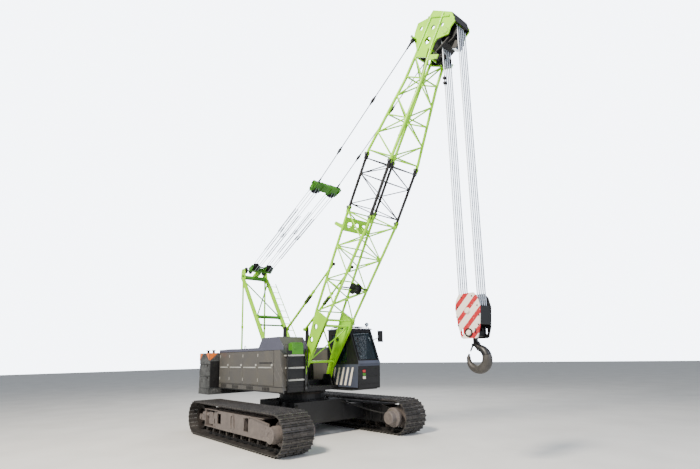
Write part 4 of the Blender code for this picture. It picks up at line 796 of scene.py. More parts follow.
# %% Cab shell and glass
CAB_Y = 1.14
CAB_RIGHT, CAB_LEFT = 0.66, 1.62
repaint(BLACK, "cab_shell")
repaint(GLASS, "windscreen", "cab_side_window", "cab_door_window")
SCREEN_FOOT = Vector((2.14, 0, 2.30))
SCREEN_HEAD = Vector((1.74, 0, 3.36))
screen_up = (SCREEN_HEAD - SCREEN_FOOT).normalized()
screen_out = Vector((screen_up.z, 0, -screen_up.x))


def on_screen(share, y, out):
    """A point on the raked screen: share of its height, place across, distance out from it."""
    return SCREEN_FOOT + (SCREEN_HEAD - SCREEN_FOOT) * share + screen_out * out + Vector((0, y, 0))


def screen_bar(bm, start, end, width, depth, lift=0.0):
    """A flat strip on the screen from (share, y) to (share, y)."""
    one, other = on_screen(*start, lift), on_screen(*end, lift)
    along = (other - one).normalized()
    across = along.cross(screen_out).normalized() * (width / 2)
    corners = [bm.verts.new(p + a * across + screen_out * d) for p in (one, other) for a in (-1, 1)
               for d in (0, depth)]
    bmesh.ops.convex_hull(bm, input=corners)


bm = bmesh.new()
for y in (CAB_RIGHT + 0.06, CAB_LEFT - 0.06):
    screen_bar(bm, (0.04, y), (0.92, y), 0.035, 0.012, -0.012)
for share in (0.05, 0.91):
    screen_bar(bm, (share, CAB_RIGHT + 0.06), (share, CAB_LEFT - 0.06), 0.035, 0.012, -0.012)
for low, high in (((0.795, 2.25), (1.625, 2.28)), ((0.795, 3.18), (1.625, 3.21)),
                  ((0.785, 2.25), (0.815, 3.21)),
                  ((1.605, 2.25), (1.635, 3.21))):
    block(bm, (low[0], CAB_RIGHT - 0.008, low[1]), (high[0], CAB_RIGHT + 0.02, high[1]))
piece("window_seals", bm, RUBBER, "upperworks", 0.003)
bm = bmesh.new()
screen_bar(bm, (-0.02, CAB_RIGHT + 0.01), (-0.02, CAB_LEFT - 0.01), 0.10, 0.014, 0.0)
block(bm, (2.05, CAB_RIGHT + 0.005, 2.16), (2.146, CAB_LEFT - 0.005, 2.29))
cut_plate(bm, [[(0.63, 1.50), (2.10, 1.50), (2.135, 2.22), (0.63, 2.22)]], upright(CAB_RIGHT - 0.006), 0.008)
piece("cab_lower_skin", bm, SLATE, "upperworks", 0.004)
bm = bmesh.new()
for i in range(5):
    x = 0.78 + 0.22 * i
    cut_plate(bm, [[(x, 1.56), (x + 0.10, 1.56), (x + 0.27, 2.12), (x + 0.19, 2.12)]],
              upright(CAB_RIGHT - 0.009), 0.005)
piece("cab_side_stripes", bm, CREAM, "upperworks")
bm = bmesh.new()
block(bm, (2.105, CAB_RIGHT + 0.02, 1.48), (2.13, CAB_LEFT - 0.02, 2.14))
for z in (1.60, 1.84, 2.06):
    block(bm, (2.125, CAB_RIGHT + 0.04, z), (2.14, CAB_LEFT - 0.04, z + 0.02))
piece("cab_front_panel", bm, BLACK, "upperworks", 0.005)
for name, colour, y, z in (("red_plate", SIGNAL_RED, 0.86, 1.96), ("green_plate", SHADED_GREEN, 0.86, 1.86),
                           ("white_plate", CREAM, 0.86, 1.76)):
    bm = bmesh.new()
    block(bm, (2.128, y, z), (2.143, y + 0.11, z + 0.08))
    piece(name, bm, colour, "upperworks", 0.003)

# %% Wiper, mirror, lamps and rails
bm = bmesh.new()
bar(bm, on_screen(0.90, 0.80, 0.005), on_screen(0.90, 0.80, 0.045), 0.022, sides=16)
bar(bm, on_screen(0.90, 0.80, 0.035), on_screen(0.45, 0.86, 0.035), 0.008, sides=8)
screen_bar(bm, (0.18, 0.83), (0.72, 0.90), 0.018, 0.016, 0.012)
for y in (0.74, 1.54):
    screen_bar(bm, (0.05, y), (0.90, y), 0.020, 0.020, 0.0)
piece("wiper", bm, BLACK, "upperworks")
bm = bmesh.new()
cap = [(0.585, 3.345), (1.80, 3.345), (1.80, 3.362), (1.72, 3.392), (0.66, 3.392), (0.585, 3.362)]
cut_plate(bm, [cap], upright(CAB_RIGHT - 0.02), CAB_LEFT - CAB_RIGHT + 0.04)
for x in (0.80, 1.10, 1.40, 1.62):
    bar(bm, (x, CAB_RIGHT + 0.08, 3.44), (x, CAB_LEFT - 0.08, 3.44), 0.011)
for y in (CAB_RIGHT + 0.08, CAB_Y, CAB_LEFT - 0.08):
    bent_tube(bm, [(0.72, y, 3.38), (0.72, y, 3.43), (0.78, y, 3.45), (1.66, y, 3.45), (1.72, y, 3.43),
                   (1.74, y, 3.37)], 0.013)
piece("cab_roof", bm, SLATE, "upperworks", 0.004)
bm = bmesh.new()
for y in (0.84, 1.46):
    bar(bm, (1.70, y, 3.40), (1.70, y, 3.48), 0.012)
    bar(bm, (1.66, y, 3.52), (1.70, y, 3.52), 0.035, 0.062, sides=24)
    bar(bm, (1.70, y, 3.52), (1.757, y, 3.52), 0.062, sides=24)
bent_tube(bm, [(1.86, 1.60, 3.00), (1.96, 1.70, 3.04), (2.04, 1.76, 3.10), (2.04, 1.76, 3.28)], 0.014)
block(bm, (2.025, 1.66, 2.92), (2.07, 1.87, 3.30))
for y in (0.645, 1.64):
    bent_tube(bm, [(0.68, y, 2.30), (0.68, y + math.copysign(0.04, y - 1.14), 2.34),
                   (0.68, y + math.copysign(0.04, y - 1.14), 3.0),
                   (0.68, y, 3.05)], 0.012)
piece("cab_fittings", bm, BLACK, "upperworks", 0.003)
bm = bmesh.new()
block(bm, (2.021, 1.672, 2.932), (2.027, 1.858, 3.288))
piece("mirror_faces", bm, MIRROR, "upperworks")
bm = bmesh.new()
for y in (0.84, 1.46):
    bar(bm, (1.755, y, 3.52), (1.768, y, 3.52), 0.050, 0.046, sides=24)
bar(bm, (0.74, 1.50, 3.39), (0.74, 1.50, 3.47), 0.045, sides=20)
piece("lamp_faces", bm, LENS, "upperworks", 0.002)

# %% [markdown]
# The cab door is a steel frame with a lower skin, hinges on its rear edge and a handle in front.

# %% Cab door
bm = bmesh.new()
outline = [(0.803, 1.540), (1.646, 1.540), (1.646, 3.232), (0.803, 3.232)]
light = [(0.90, 2.20), (1.56, 2.20), (1.56, 3.16), (0.90, 3.16)]
cut_plate(bm, [outline, light], upright(1.572), 0.047)
cut_plate(bm, [[(0.86, 1.60), (1.59, 1.60), (1.59, 2.12), (0.86, 2.12)]], upright(1.616), 0.010)
piece("cab_door_frame", bm, SLATE, "cab_door", 0.006, ["cab_door"])
bm = bmesh.new()
for z in (1.72, 3.04):
    bar(bm, (0.803, 1.618, z - 0.06), (0.803, 1.618, z + 0.06), 0.014, sides=12)
bent_tube(bm, [(1.60, 1.62, 2.04), (1.60, 1.655, 2.06), (1.60, 1.655, 2.22), (1.60, 1.62, 2.24)], 0.010)
block(bm, (1.57, 1.618, 1.96), (1.63, 1.632, 2.02))
piece("cab_door_hardware", bm, BLACK, "cab_door", 0.002)

# %% [markdown]
# The operator sits on a padded seat with crowned vinyl cushions over a box base. Two arm consoles carry the
# levers, and pedals stand before the screen.

# %% Seat, console and controls


def cushion(name, low, high, crown, turn):
    """A stuffed pad: a rounded block whose sides pull in between the corners and whose faces crown."""
    bm = bmesh.new()
    size = Vector(high) - Vector(low)
    middle = (Vector(high) + Vector(low)) / 2
    bmesh.ops.create_cube(bm, size=2)
    bmesh.ops.subdivide_edges(bm, edges=bm.edges, cuts=11, use_grid_fill=True)
    for vert in bm.verts:
        x, y, z = vert.co
        round_x = x * (1 - 0.10 * (1 - y * y) * abs(x) ** 8)
        round_y = y * (1 - 0.06 * (1 - x * x) * abs(y) ** 8)
        shrink = 1 - 0.10 * max(0.0, abs(z) - 0.4)
        bulge = 1 + crown * (1 - x ** 4) * (1 - y ** 4)
        seam = 1 - 0.10 * math.exp(-((abs(y) - 0.55) / 0.05) ** 2)
        vert.co = Vector((round_x * shrink, round_y * shrink, z * 0.75 * bulge * seam))
    bmesh.ops.smooth_vert(bm, verts=bm.verts, factor=0.5, use_axis_x=True, use_axis_y=True, use_axis_z=True)
    place = Matrix.Translation(middle) @ turn @ Matrix.Diagonal((size.x / 2, size.y / 2, size.z / 2, 1))
    bmesh.ops.transform(bm, matrix=place, verts=bm.verts)
    made = piece(name, bm, VINYL, "upperworks", sharp=60)
    return made


cushion("seat_cushion", (0.97, 0.90, 1.84), (1.47, 1.38, 1.98), 0.25, Matrix.Identity(4))
cushion("seat_back", (0.62, 0.91, 2.20), (1.26, 1.37, 2.33), 0.22,
        Matrix.Rotation(math.radians(-82), 4, "Y"))
cushion("head_rest", (0.78, 1.02, 2.64), (0.98, 1.26, 2.74), 0.22,
        Matrix.Rotation(math.radians(-82), 4, "Y"))
bm = bmesh.new()
block(bm, (1.02, 0.98, 1.503), (1.40, 1.30, 1.56))
for z in (1.60, 1.66, 1.72):
    block(bm, (1.06, 1.02, z), (1.36, 1.26, z + 0.035))
block(bm, (1.00, 0.94, 1.78), (1.44, 1.34, 1.84))
cut_plate(bm, [[(0.94, 1.80), (1.02, 1.80), (0.90, 2.62), (0.84, 2.62)]], upright(1.00), 0.28)
for y in (1.08, 1.20):
    bar(bm, (0.88, y, 2.58), (0.875, y, 2.66), 0.008)
piece("seat_frame", bm, BLACK, "upperworks", 0.006, ["operator_seat"])
bm = bmesh.new()
block(bm, (1.00, 0.73, 1.503), (1.60, 0.87, 1.98))
block(bm, (0.98, 0.72, 1.98), (1.66, 0.88, 2.05))
block(bm, (1.00, 1.43, 1.86), (1.50, 1.51, 1.92))
bar(bm, (1.10, 1.47, 1.503), (1.10, 1.47, 1.88), 0.03)
cut_plate(bm, [[(1.80, 1.503), (1.90, 1.503), (1.98, 1.72), (1.94, 1.74)]], upright(0.98), 0.10)
cut_plate(bm, [[(1.80, 1.503), (1.90, 1.503), (1.98, 1.72), (1.94, 1.74)]], upright(1.20), 0.10)
cut_plate(bm, [[(1.86, 2.05), (1.90, 2.05), (1.97, 2.32), (1.93, 2.34)]], upright(0.76), 0.30)
bar(bm, (1.88, 0.90, 1.503), (1.90, 0.90, 2.10), 0.025)
piece("cab_controls", bm, BLACK, "upperworks", 0.006, ["cab_console"])
bm = bmesh.new()
for x, y in ((1.50, 0.80), (1.36, 0.80), (1.42, 1.47)):
    z = 2.05 if y < 1 else 1.92
    bar(bm, (x, y, z), (x + 0.02, y, z + 0.14), 0.008)
    bar(bm, (x + 0.02, y, z + 0.12), (x + 0.024, y, z + 0.20), 0.022, 0.018, sides=16)
piece("control_levers", bm, RUBBER, "upperworks")

# %% [markdown]
# ## Gantry
# The A-frame stands on the deck, leans back, and carries the luffing ropes. Its legs are square tube, its
# cross members round tube in a darker green that is painted shade, and upright links tie its head down to
# the rear of the deck.

# %% Gantry frame, links and ladder
LEG_FOOT, LEG_HEAD = Vector((-0.72, 0.55, 1.77)), Vector((-3.45, 0.55, 5.78))


def square_tube(bm, start, end, half):
    start, end = Vector(start), Vector(end)
    axis = end - start
    middle = Matrix.Translation((start + end) / 2)
    place = middle @ axis.to_track_quat("Z",
                                        "Y").to_matrix().to_4x4() @ Matrix.Diagonal((2 * half, 2 * half,
                                                                                     axis.length, 1))
    bmesh.ops.create_cube(bm, size=1, matrix=place)


def along_leg(z, y):
    share = (z - LEG_FOOT.z) / (LEG_HEAD.z - LEG_FOOT.z)
    return Vector((LEG_FOOT.x + (LEG_HEAD.x - LEG_FOOT.x) * share, y, z))


bm = bmesh.new()
for side in (-1, 1):
    y = side * 0.55
    square_tube(bm, along_leg(1.78, y), along_leg(5.70, y), 0.058)
    cut_plate(bm, [[(-0.86, 1.722), (-0.58, 1.722), (-0.62, 1.90), (-0.76, 1.98), (-0.86, 1.92)]],
              upright(y - 0.08), 0.022)
    cut_plate(bm, [[(-0.86, 1.722), (-0.58, 1.722), (-0.62, 1.90), (-0.76, 1.98), (-0.86, 1.92)]],
              upright(y + 0.058), 0.022)
    block(bm, (-0.88, y - 0.10, 1.7205), (-0.58, y + 0.10, 1.745))
    head = [(-3.63, 5.66), (-3.27, 5.66), (-3.30, 5.90), (-3.35, 6.07), (-3.55, 6.07), (-3.60, 5.90)]
    cut_plate(bm, [head, circle((-3.42, 6.02), 0.032)], upright(side * 0.50 - 0.025), 0.05)
    lug = [(-3.45, 5.72), (-3.04, 5.86), (-3.04, 5.99), (-3.16, 5.99), (-3.45, 5.84)]
    low = side * 0.0635 - 0.02
    cut_plate(bm, [lug], upright(low), 0.04)
bar(bm, (-3.10, -0.085, 5.93), (-3.10, 0.085, 5.93), 0.025, sides=20)
piece("gantry_legs", bm, LIME, "upperworks", 0.006, ["gantry_frame"])
bm = bmesh.new()
for z, radius in ((3.70, 0.032), (4.03, 0.062), (5.72, 0.085)):
    start, end = along_leg(z, -0.56), along_leg(z, 0.56)
    bar(bm, start, end, radius, sides=24)
    for side in (-1, 1):
        bar(bm, along_leg(z, side * 0.44), along_leg(z, side * 0.465), radius + 0.02, sides=24)
bar(bm, along_leg(4.03, -0.50), along_leg(5.50, 0.50), 0.026, sides=16)
bar(bm, along_leg(4.03, 0.50), along_leg(5.50, -0.50), 0.026, sides=16)
piece("gantry_cross_tubes", bm, SHADED_GREEN, "upperworks")
bm = bmesh.new()
for y in (0.64, 0.92):
    bar(bm, along_leg(2.85, y), along_leg(5.55, y), 0.018, sides=12)
for i in range(10):
    z = 2.98 + 0.27 * i
    bar(bm, along_leg(z, 0.64), along_leg(z, 0.92), 0.013, sides=10)
for z in (3.1, 4.3, 5.4):
    bar(bm, along_leg(z, 0.58), along_leg(z, 0.66), 0.016, sides=10)
piece("gantry_ladder", bm, LIME, "upperworks")
for tag, side in SIDES:
    y = side * 0.50
    bm = bmesh.new()
    bar(bm, (-3.45, y, 1.83), (-3.45, y, 5.58), 0.035, sides=24)
    for z0, z1 in ((1.7203, 1.86), (5.56, 5.6597)):
        block(bm, (-3.485, y - 0.03, z0), (-3.415, y + 0.03, z1))
    bar(bm, (-3.45, y - 0.045, 1.79), (-3.45, y + 0.045, 1.79), 0.022, sides=16)
    bar(bm, (-3.45, y - 0.045, 5.62), (-3.45, y + 0.045, 5.62), 0.022, sides=16)
    for z in (3.68, 3.74):
        bar(bm, (-3.45, y, z - 0.025), (-3.45, y, z + 0.025), 0.048, sides=24)
    piece(f"tie_link_{tag}", bm, LIME, "upperworks", 0.003, [f"gantry_link_{tag}"])

# %% [markdown]
# ## Sheaves
# A sheave is a cast wheel with a rim grooved for the rope, a thin web and a thick hub. One function spins
# that section for every sheave on the machine: gantry, spreaders, boom head, guide and hook block.

# %% Gantry sheaves


def sheave(bm, x, z, y, radius, half, hub):
    """One grooved wheel about the Y axis. The web lies inside the rim's width."""
    groove = min(0.35 * radius, 0.032)
    profile = [(hub * 0.5, y - half), (hub, y - half), (hub, y - half * 0.45),
               (radius - groove * 1.3, y - half * 0.45),
               (radius - groove * 1.1, y - half), (radius, y - half), (radius, y - half * 0.82),
               (radius - groove * 0.8, y - half * 0.25),
               (radius - groove * 0.8, y + half * 0.25), (radius, y + half * 0.82), (radius, y + half),
               (radius - groove * 1.1, y + half), (radius - groove * 1.3, y + half * 0.45),
               (hub, y + half * 0.45),
               (hub, y + half), (hub * 0.5, y + half), (hub * 0.5, y - half)]
    spun(bm, profile, (x, z))


bm = bmesh.new()
for y in (-0.40, -0.20, 0.20, 0.40):
    sheave(bm, -3.42, 6.02, y, 0.13, 0.022, 0.045)
bar(bm, (-3.42, -0.4747, 6.02), (-3.42, 0.4747, 6.02), 0.03, sides=20)
piece("gantry_head_sheaves", bm, SHEAVE_IRON, "upperworks", instead_of=["gantry_sheaves"])

# %% [markdown]
# ## Boom
# The boom is four chords of round tube laced on all four faces. It grows from a flat foot to full depth and
# tapers again to its head. Two functions give the chord's place at a distance t along the boom, so lacing,
# lugs and walkway all follow the same lines.

# %% Boom geometry
BOOM_ANGLE = math.radians(58.52)
BOOM_FOOT = Vector((0.777, 0, 1.792))
ALONG = Vector((math.cos(BOOM_ANGLE), 0, math.sin(BOOM_ANGLE)))
FRONT = Vector((math.sin(BOOM_ANGLE), 0, -math.cos(BOOM_ANGLE)))
JOINT_1, JOINT_2, TAPER_START, TAPER_END, HEAD_START = 5.58, 7.20, 7.32, 9.40, 10.15
CHORD, LACING = 0.042, 0.022


def at(t, y, d):
    return BOOM_FOOT + ALONG * t + FRONT * d + Vector((0, y, 0))


def chord_depth(t, front):
    if t >= TAPER_START:
        share = (t - TAPER_START) / (HEAD_START - TAPER_START)
        return (1 - share) * (0.52 if front else -0.52) + share * (0.33 if front else -0.15)
    if t >= JOINT_1 - 0.2:
        return 0.52 if front else -0.52
    if front:
        return 0.52 * max(0.0, t - 0.4) / (JOINT_1 - 0.6)
    if t < 2.20:
        return -0.03 - 0.39 * t / 2.20
    return -0.42 - 0.10 * (t - 2.20) / (JOINT_1 - 0.2 - 2.20)


def chord_half_width(t):
    share = min(1.0, max(0.0, (t - TAPER_START) / (TAPER_END - TAPER_START)))
    return 0.53 + (0.31 - 0.53) * share


def corner(t, side, front):
    return at(t, side * chord_half_width(t), chord_depth(t, front))


def evenly(start, end, count):
    return [start + (end - start) * i / count for i in range(count + 1)]


FACES = (((-1, True), (-1, False)), ((1, True), (1, False)), ((-1, True), (1, True)),
         ((-1, False), (1, False)))


def laced(bm, stops, stations, zigzag=0, open_panel=None, lacing=LACING):
    """Chords between the stops and lacings between the stations."""
    for side in (-1, 1):
        for front in (True, False):
            for low, high in zip(stops, stops[1:]):
                bar(bm, corner(low, side, front), corner(high, side, front), CHORD, sides=20)
    for number, (low, high) in enumerate(zip(stations, stations[1:])):
        for face, (one, other) in enumerate(FACES):
            if number == open_panel and face == 3:
                continue
            first, last = (one, other) if (number + face + zigzag) % 2 else (other, one)
            bar(bm, corner(low, *first), corner(high, *last), lacing, sides=14)
    for t in (stations[0], *stations[2:-1:2], stations[-1]):
        for one, other in FACES:
            bar(bm, corner(t, *one), corner(t, *other), lacing, sides=14)


def boom_plate(bm, loops, y, thickness):
    """A plate on the boom's side face from (t, d) outlines, centred on y."""
    cut_plate(bm, loops, lambda t, d: at(t, y - thickness / 2, d), thickness)


def joint_lugs(bm, t, way):
    """Forked lugs that join two sections at each chord; way is -1 below the joint and 1 above it."""
    for side in (-1, 1):
        for front in (True, False):
            d = chord_depth(t, front)
            y = side * chord_half_width(t)
            for offset in ((-0.030, 0.030) if way < 0 else (0.0,)):
                loop = [(t + way * 0.16, d - 0.045), (t - way * 0.045, d - 0.055),
                        (t - way * 0.05, d + 0.055),
                        (t + way * 0.16, d + 0.045)]
                boom_plate(bm, [loop], y + offset, 0.022)


print("boom from", tuple(round(v, 2) for v in at(0, 0, 0)), "to",
      tuple(round(v, 2) for v in at(11.17, 0, 0)))

# %% [markdown]
# The base section ends in two ears of thick plate at the foot pin. The insert is black, and the lugs and
# pins between sections lie in line with the chords.

# %% Boom base and insert
bm = bmesh.new()
stations = evenly(2.20, JOINT_1 - 0.12, 6)
laced(bm, (2.20, JOINT_1 - 0.2, JOINT_1 - 0.001), stations, open_panel=2)
for side in (-1, 1):
    ear = [(-0.07, -0.10), (0.10, -0.14), (2.25, -0.46), (2.25, chord_depth(2.25, True) + 0.04),
           (0.45, 0.05), (0.10, 0.12),
           (-0.07, 0.09)]
    holes = [circle((t, d), r) for t, d, r in ((0.0, 0.0, 0.052), (0.62, -0.05, 0.035), (1.33, -0.18, 0.085),
                                               (1.78, -0.18, 0.085))]
    boom_plate(bm, [ear, *holes], side * 0.53, 0.05)
    for t, d, r in ((1.33, -0.18, 0.105), (1.78, -0.18, 0.105)):
        ring = [circle((t, d), r), circle((t, d), 0.085)]
        boom_plate(bm, ring, side * 0.53, 0.066)
    flange = [(0.45, 0.05), (2.25, chord_depth(2.25, True) + 0.04), (2.25, chord_depth(2.25, True)),
              (0.45, 0.02)]
    boom_plate(bm, [flange], side * 0.53, 0.10)
for t, d in ((0.62, 0.0), (1.95, 0.08), (1.95, -0.34)):
    bar(bm, at(t, -0.53, d), at(t, 0.53, d), 0.04, sides=20)
bar(bm, at(0.62, -0.53, 0), at(1.95, 0.53, 0.08), LACING, sides=14)
bar(bm, at(0.62, 0.53, 0), at(1.95, -0.53, 0.08), LACING, sides=14)
joint_lugs(bm, JOINT_1, -1)
piece("boom_base_lattice", bm, LIME, "boom", instead_of=["boom_base"])
bm = bmesh.new()
laced(bm, (JOINT_1 + 0.001, JOINT_2 - 0.001), evenly(JOINT_1 + 0.12, JOINT_2 - 0.12, 3), lacing=0.016)
joint_lugs(bm, JOINT_1, 1)
joint_lugs(bm, JOINT_2, -1)
piece("boom_insert_lattice", bm, BLACK, "boom", instead_of=["boom_insert"])
bm = bmesh.new()
for t in (JOINT_1, JOINT_2):
    for side in (-1, 1):
        for front in (True, False):
            d, y = chord_depth(t, front), side * chord_half_width(t)
            bar(bm, at(t, y - 0.075, d), at(t, y + 0.075, d), 0.026, sides=16)
            bar(bm, at(t, y - 0.085, d), at(t, y - 0.072, d), 0.040, sides=16)
piece("boom_joint_pins", bm, ZINC, "boom")

# %% [markdown]
# The top section tapers to two head plates with lightening holes. Tubes tie the plates together, and
# bracket arms hold the guide sheave, a lamp and a small hook bracket.

# %% Boom top and head
HEAD_Y = 0.31
bm = bmesh.new()
laced(bm, (JOINT_2 + 0.001, TAPER_START, TAPER_END, HEAD_START), evenly(TAPER_START, 10.0, 5), 1)
joint_lugs(bm, JOINT_2, 1)
head = [(9.98, -0.20), (10.17, -0.20), (10.32, -0.32), (10.44, -0.45), (10.62, -0.50), (10.86, -0.50),
        (10.99, -0.15),
        (11.17, -0.08), (11.10, 0.62), (10.88, 0.83), (10.74, 0.76), (10.56, 0.76), (10.45, 0.42),
        (10.36, 0.38), (9.98, 0.38)]
holes = [circle((t, d), r) for t, d, r in ((10.72, -0.30, 0.055), (10.742, 0.14, 0.06), (10.80, 0.44, 0.05),
                                           (10.41, 0.11, 0.095))]
arm = [(9.90, 0.30), (10.05, 0.30), (10.07, 0.67), (9.97, 0.67)]
for side in (-1, 1):
    boom_plate(bm, [head, *holes], side * HEAD_Y, 0.035)
    boom_plate(bm, [circle((10.41, 0.11), 0.125), circle((10.41, 0.11), 0.095)], side * HEAD_Y, 0.052)
    boom_plate(bm, [arm], side * HEAD_Y, 0.028)
    for start, end in (((10.16, -0.13), (11.00, -0.05)), ((10.16, 0.33), (11.08, 0.36))):
        y = side * (HEAD_Y + 0.03)
        bar(bm, at(start[0], y, start[1]), at(end[0], y, end[1]), 0.030, sides=18)
    bar(bm, at(10.99, side * (HEAD_Y + 0.03), -0.14), at(11.0, side * (HEAD_Y + 0.03), 0.60), 0.026,
        sides=18)
    boom_plate(bm, [circle((10.65, 0.635), 0.09)], side * (HEAD_Y + 0.022), 0.03)
    boom_plate(bm, [circle((10.92, 0.72), 0.07), circle((10.92, 0.72), 0.035)], side * (HEAD_Y + 0.012),
               0.02)
for t, d, radius in ((10.93, -0.12, 0.04), (11.0, 0.50, 0.04), (10.2, 0.30, 0.03), (10.62, -0.40, 0.03)):
    bar(bm, at(t, -HEAD_Y, d), at(t, HEAD_Y, d), radius, sides=18)
bar(bm, at(10.02, -HEAD_Y, 0.62), at(10.02, HEAD_Y, 0.62), 0.03, sides=20)
bar(bm, at(10.65, -HEAD_Y, 0.635), at(10.65, HEAD_Y, 0.635), 0.05, sides=20)
for side in (-1, 1):
    bar(bm, at(10.44, side * 0.21, -0.36), at(10.44, side * 0.50, -0.36), 0.025, sides=20)
piece("boom_top_lattice", bm, LIME, "boom", instead_of=["boom_top"])
bm = bmesh.new()
for side in (-1, 1):
    for t, d in ((10.65, 0.635), (10.02, 0.62)):
        for i in range(6):
            a, b = circle((t, d), 0.065, 6)[i]
            bar(bm, at(a, side * (HEAD_Y + 0.036), b), at(a, side * (HEAD_Y + 0.048), b), 0.009, sides=6)
    bar(bm, at(10.44, side * 0.50, -0.36), at(10.44, side * 0.512, -0.36), 0.038, sides=16)
piece("head_fixings", bm, ZINC, "boom")
bm = bmesh.new()
boom_plate(bm, [[(10.05, 0.36), (10.56, 0.74), (10.54, 0.765), (10.03, 0.40)]], 0, 0.50)
boom_plate(bm, [[(10.02, -0.19), (10.30, -0.30), (10.30, -0.325), (10.02, -0.215)]], 0, 0.52)
boom_plate(bm, [[(10.30, 0.86), (10.50, 0.88), (10.49, 1.02), (10.32, 1.01)]], -0.02, 0.22)
boom_plate(bm, [[(10.44, 0.70), (10.50, 0.70), (10.46, 0.90), (10.40, 0.90)]], -0.02, 0.05)
# Thin black sheets on the inner faces of both head plates are painted shade where those faces lie in shadow.
for side in (-1, 1):
    inside = [(10.56, 0.74), (10.46, 0.40), (10.36, 0.36), (10.02, 0.36), (10.02, -0.18), (10.18, -0.18),
              (10.45, -0.43),
              (10.84, -0.48), (10.98, -0.14), (11.14, -0.07), (11.08, 0.61), (10.87, 0.81), (10.74, 0.74)]
    spots = [circle((t, d), r) for t, d,
             r in ((10.72, -0.30, 0.055), (10.742, 0.14, 0.06), (10.80, 0.44, 0.05),
                                               (10.41, 0.11, 0.095))]
    boom_plate(bm, [inside, *spots], side * (HEAD_Y - 0.0245), 0.006)
boom_plate(bm, [[(11.10, 0.50), (11.115, 0.50), (11.10, 0.63), (10.89, 0.83), (10.88, 0.815),
                 (11.085, 0.62)]], 0, 0.60)
piece("head_guards_and_shade_sheets", bm, BLACK, "boom")
bm = bmesh.new()
boom_plate(bm, [[(10.300, 0.88), (10.306, 1.00), (10.288, 1.00), (10.284, 0.88)]], -0.02, 0.19)
piece("boom_lamp", bm, LENS, "boom")

# %% [markdown]
# Along the boom run the smaller things: a plate with three holes across the rear face, a cable reel on the
# front, a rope guard, and a lamp cable held by a row of clips.

# %% Boom trim
bm = bmesh.new()
rear = chord_depth(5.06, False)
plate = [(-0.48, 4.85), (0.48, 4.85), (0.48, 5.28), (-0.48, 5.28)]
holes = [circle((y, 5.065), 0.085) for y in (-0.28, 0.0, 0.28)]
start = len(bm.verts)
edges = []
for loop in (plate, *holes):
    corners = [bm.verts.new(at(t, y, rear - 0.045)) for y, t in loop]
    edges += [bm.edges.new(pair) for pair in zip(corners, corners[1:] + corners[:1])]
filled = bmesh.ops.triangle_fill(bm, use_beauty=True, use_dissolve=False, edges=edges)["geom"]
faces = [part for part in filled if isinstance(part, bmesh.types.BMFace)]
grown = bmesh.ops.extrude_face_region(bm, geom=faces)["geom"]
bmesh.ops.translate(bm, verts=[g for g in grown if isinstance(g, bmesh.types.BMVert)], vec=FRONT * 0.02)
piece("rear_stop_plate", bm, LIME, "boom", 0.003)
bm = bmesh.new()
for side in (-1, 1):
    boom_plate(bm, [[(4.90, -0.50), (5.03, -0.50), (5.02, -0.92), (4.95, -0.96), (4.91, -0.92)]],
               side * 0.53, 0.02)
bar(bm, at(4.97, -0.53, -0.88), at(4.97, 0.53, -0.88), 0.02, sides=14)
piece("rope_guard", bm, LIME, "boom", 0.003)
bm = bmesh.new()
for y in (-0.10, 0.10):
    boom_plate(bm, [circle((3.36, 0.36), 0.17, 28)], y, 0.012)
boom_plate(bm, [circle((3.36, 0.36), 0.09, 24)], 0, 0.20)
bar(bm, at(3.36, -0.53, 0.33), at(3.36, 0.53, 0.33), 0.022, sides=14)
piece("cable_reel", bm, BLACK, "boom", 0.002)
bm = bmesh.new()
cable = [at(0.75, -0.505, 0.06), at(1.8, -0.53, 0.20), at(3.4, -0.53, chord_depth(3.4, True) - 0.055),
         at(5.3, -0.53, chord_depth(5.3, True) - 0.055), at(7.2, -0.53, 0.465),
         at(9.4, -0.31, chord_depth(9.4, True) - 0.055),
         at(10.2, -0.345, 0.27)]
bent_tube(bm, cable, 0.011, smooth=False)
for t in (2.4, 3.0, 3.6, 4.2, 4.8, 6.0, 6.6, 7.9, 8.5, 9.1):
    spot = at(t, -chord_half_width(t), chord_depth(t, True) - 0.045)
    bar(bm, spot - ALONG * 0.02, spot + ALONG * 0.02, 0.024, sides=12)
piece("boom_cable", bm, RUBBER, "boom")

# %% Head sheaves, guide sheave and their rope wraps
HEAD = at(10.65, 0, 0.635)
GUIDE = at(10.02, 0, 0.62)
HOOK_X = HEAD.x
FALL_R = 0.24
FALL_Y = [0.08 * (i - 2) for i in range(5)]
bm = bmesh.new()
for y in FALL_Y:
    sheave(bm, HEAD.x, HEAD.z, y, 0.247, 0.030, 0.085)
spun(bm, [(0.0515, -0.284), (0.075, -0.284), (0.075, 0.284), (0.0515, 0.284), (0.0515, -0.284)],
     (HEAD.x, HEAD.z))
piece("head_sheave_set", bm, SHEAVE_IRON, "head_sheaves", instead_of=["head_sheaves"])
bm = bmesh.new()
for y in (-0.12, 0.12):
    sheave(bm, GUIDE.x, GUIDE.z, y, 0.14, 0.025, 0.055)
spun(bm, [(0.0315, -0.284), (0.05, -0.284), (0.05, 0.284), (0.0315, 0.284), (0.0315, -0.284)],
     (GUIDE.x, GUIDE.z))
piece("guide_sheave_set", bm, SHEAVE_IRON, "guide_sheave", instead_of=["guide_sheave"])
bm = bmesh.new()
for i, y in enumerate(FALL_Y[:-1]):
    arc = [(HOOK_X + FALL_R * math.cos(math.pi * k / 14), y + 0.08 * k / 14,
            HEAD.z + FALL_R * math.sin(math.pi * k / 14))
           for k in range(15)]
    bent_tube(bm, arc, 0.011, smooth=False)
piece("head_rope_wraps", bm, FALL_ROPE, "falls")
bm = bmesh.new()
for y in FALL_Y:
    arc = [(HOOK_X + FALL_R * math.cos(math.pi + math.pi * k / 16), y,
            3.42 + FALL_R * math.sin(math.pi + math.pi * k / 16))
           for k in range(17)]
    bent_tube(bm, arc, 0.011, smooth=False)
piece("block_rope_wraps", bm, FALL_ROPE, "block")

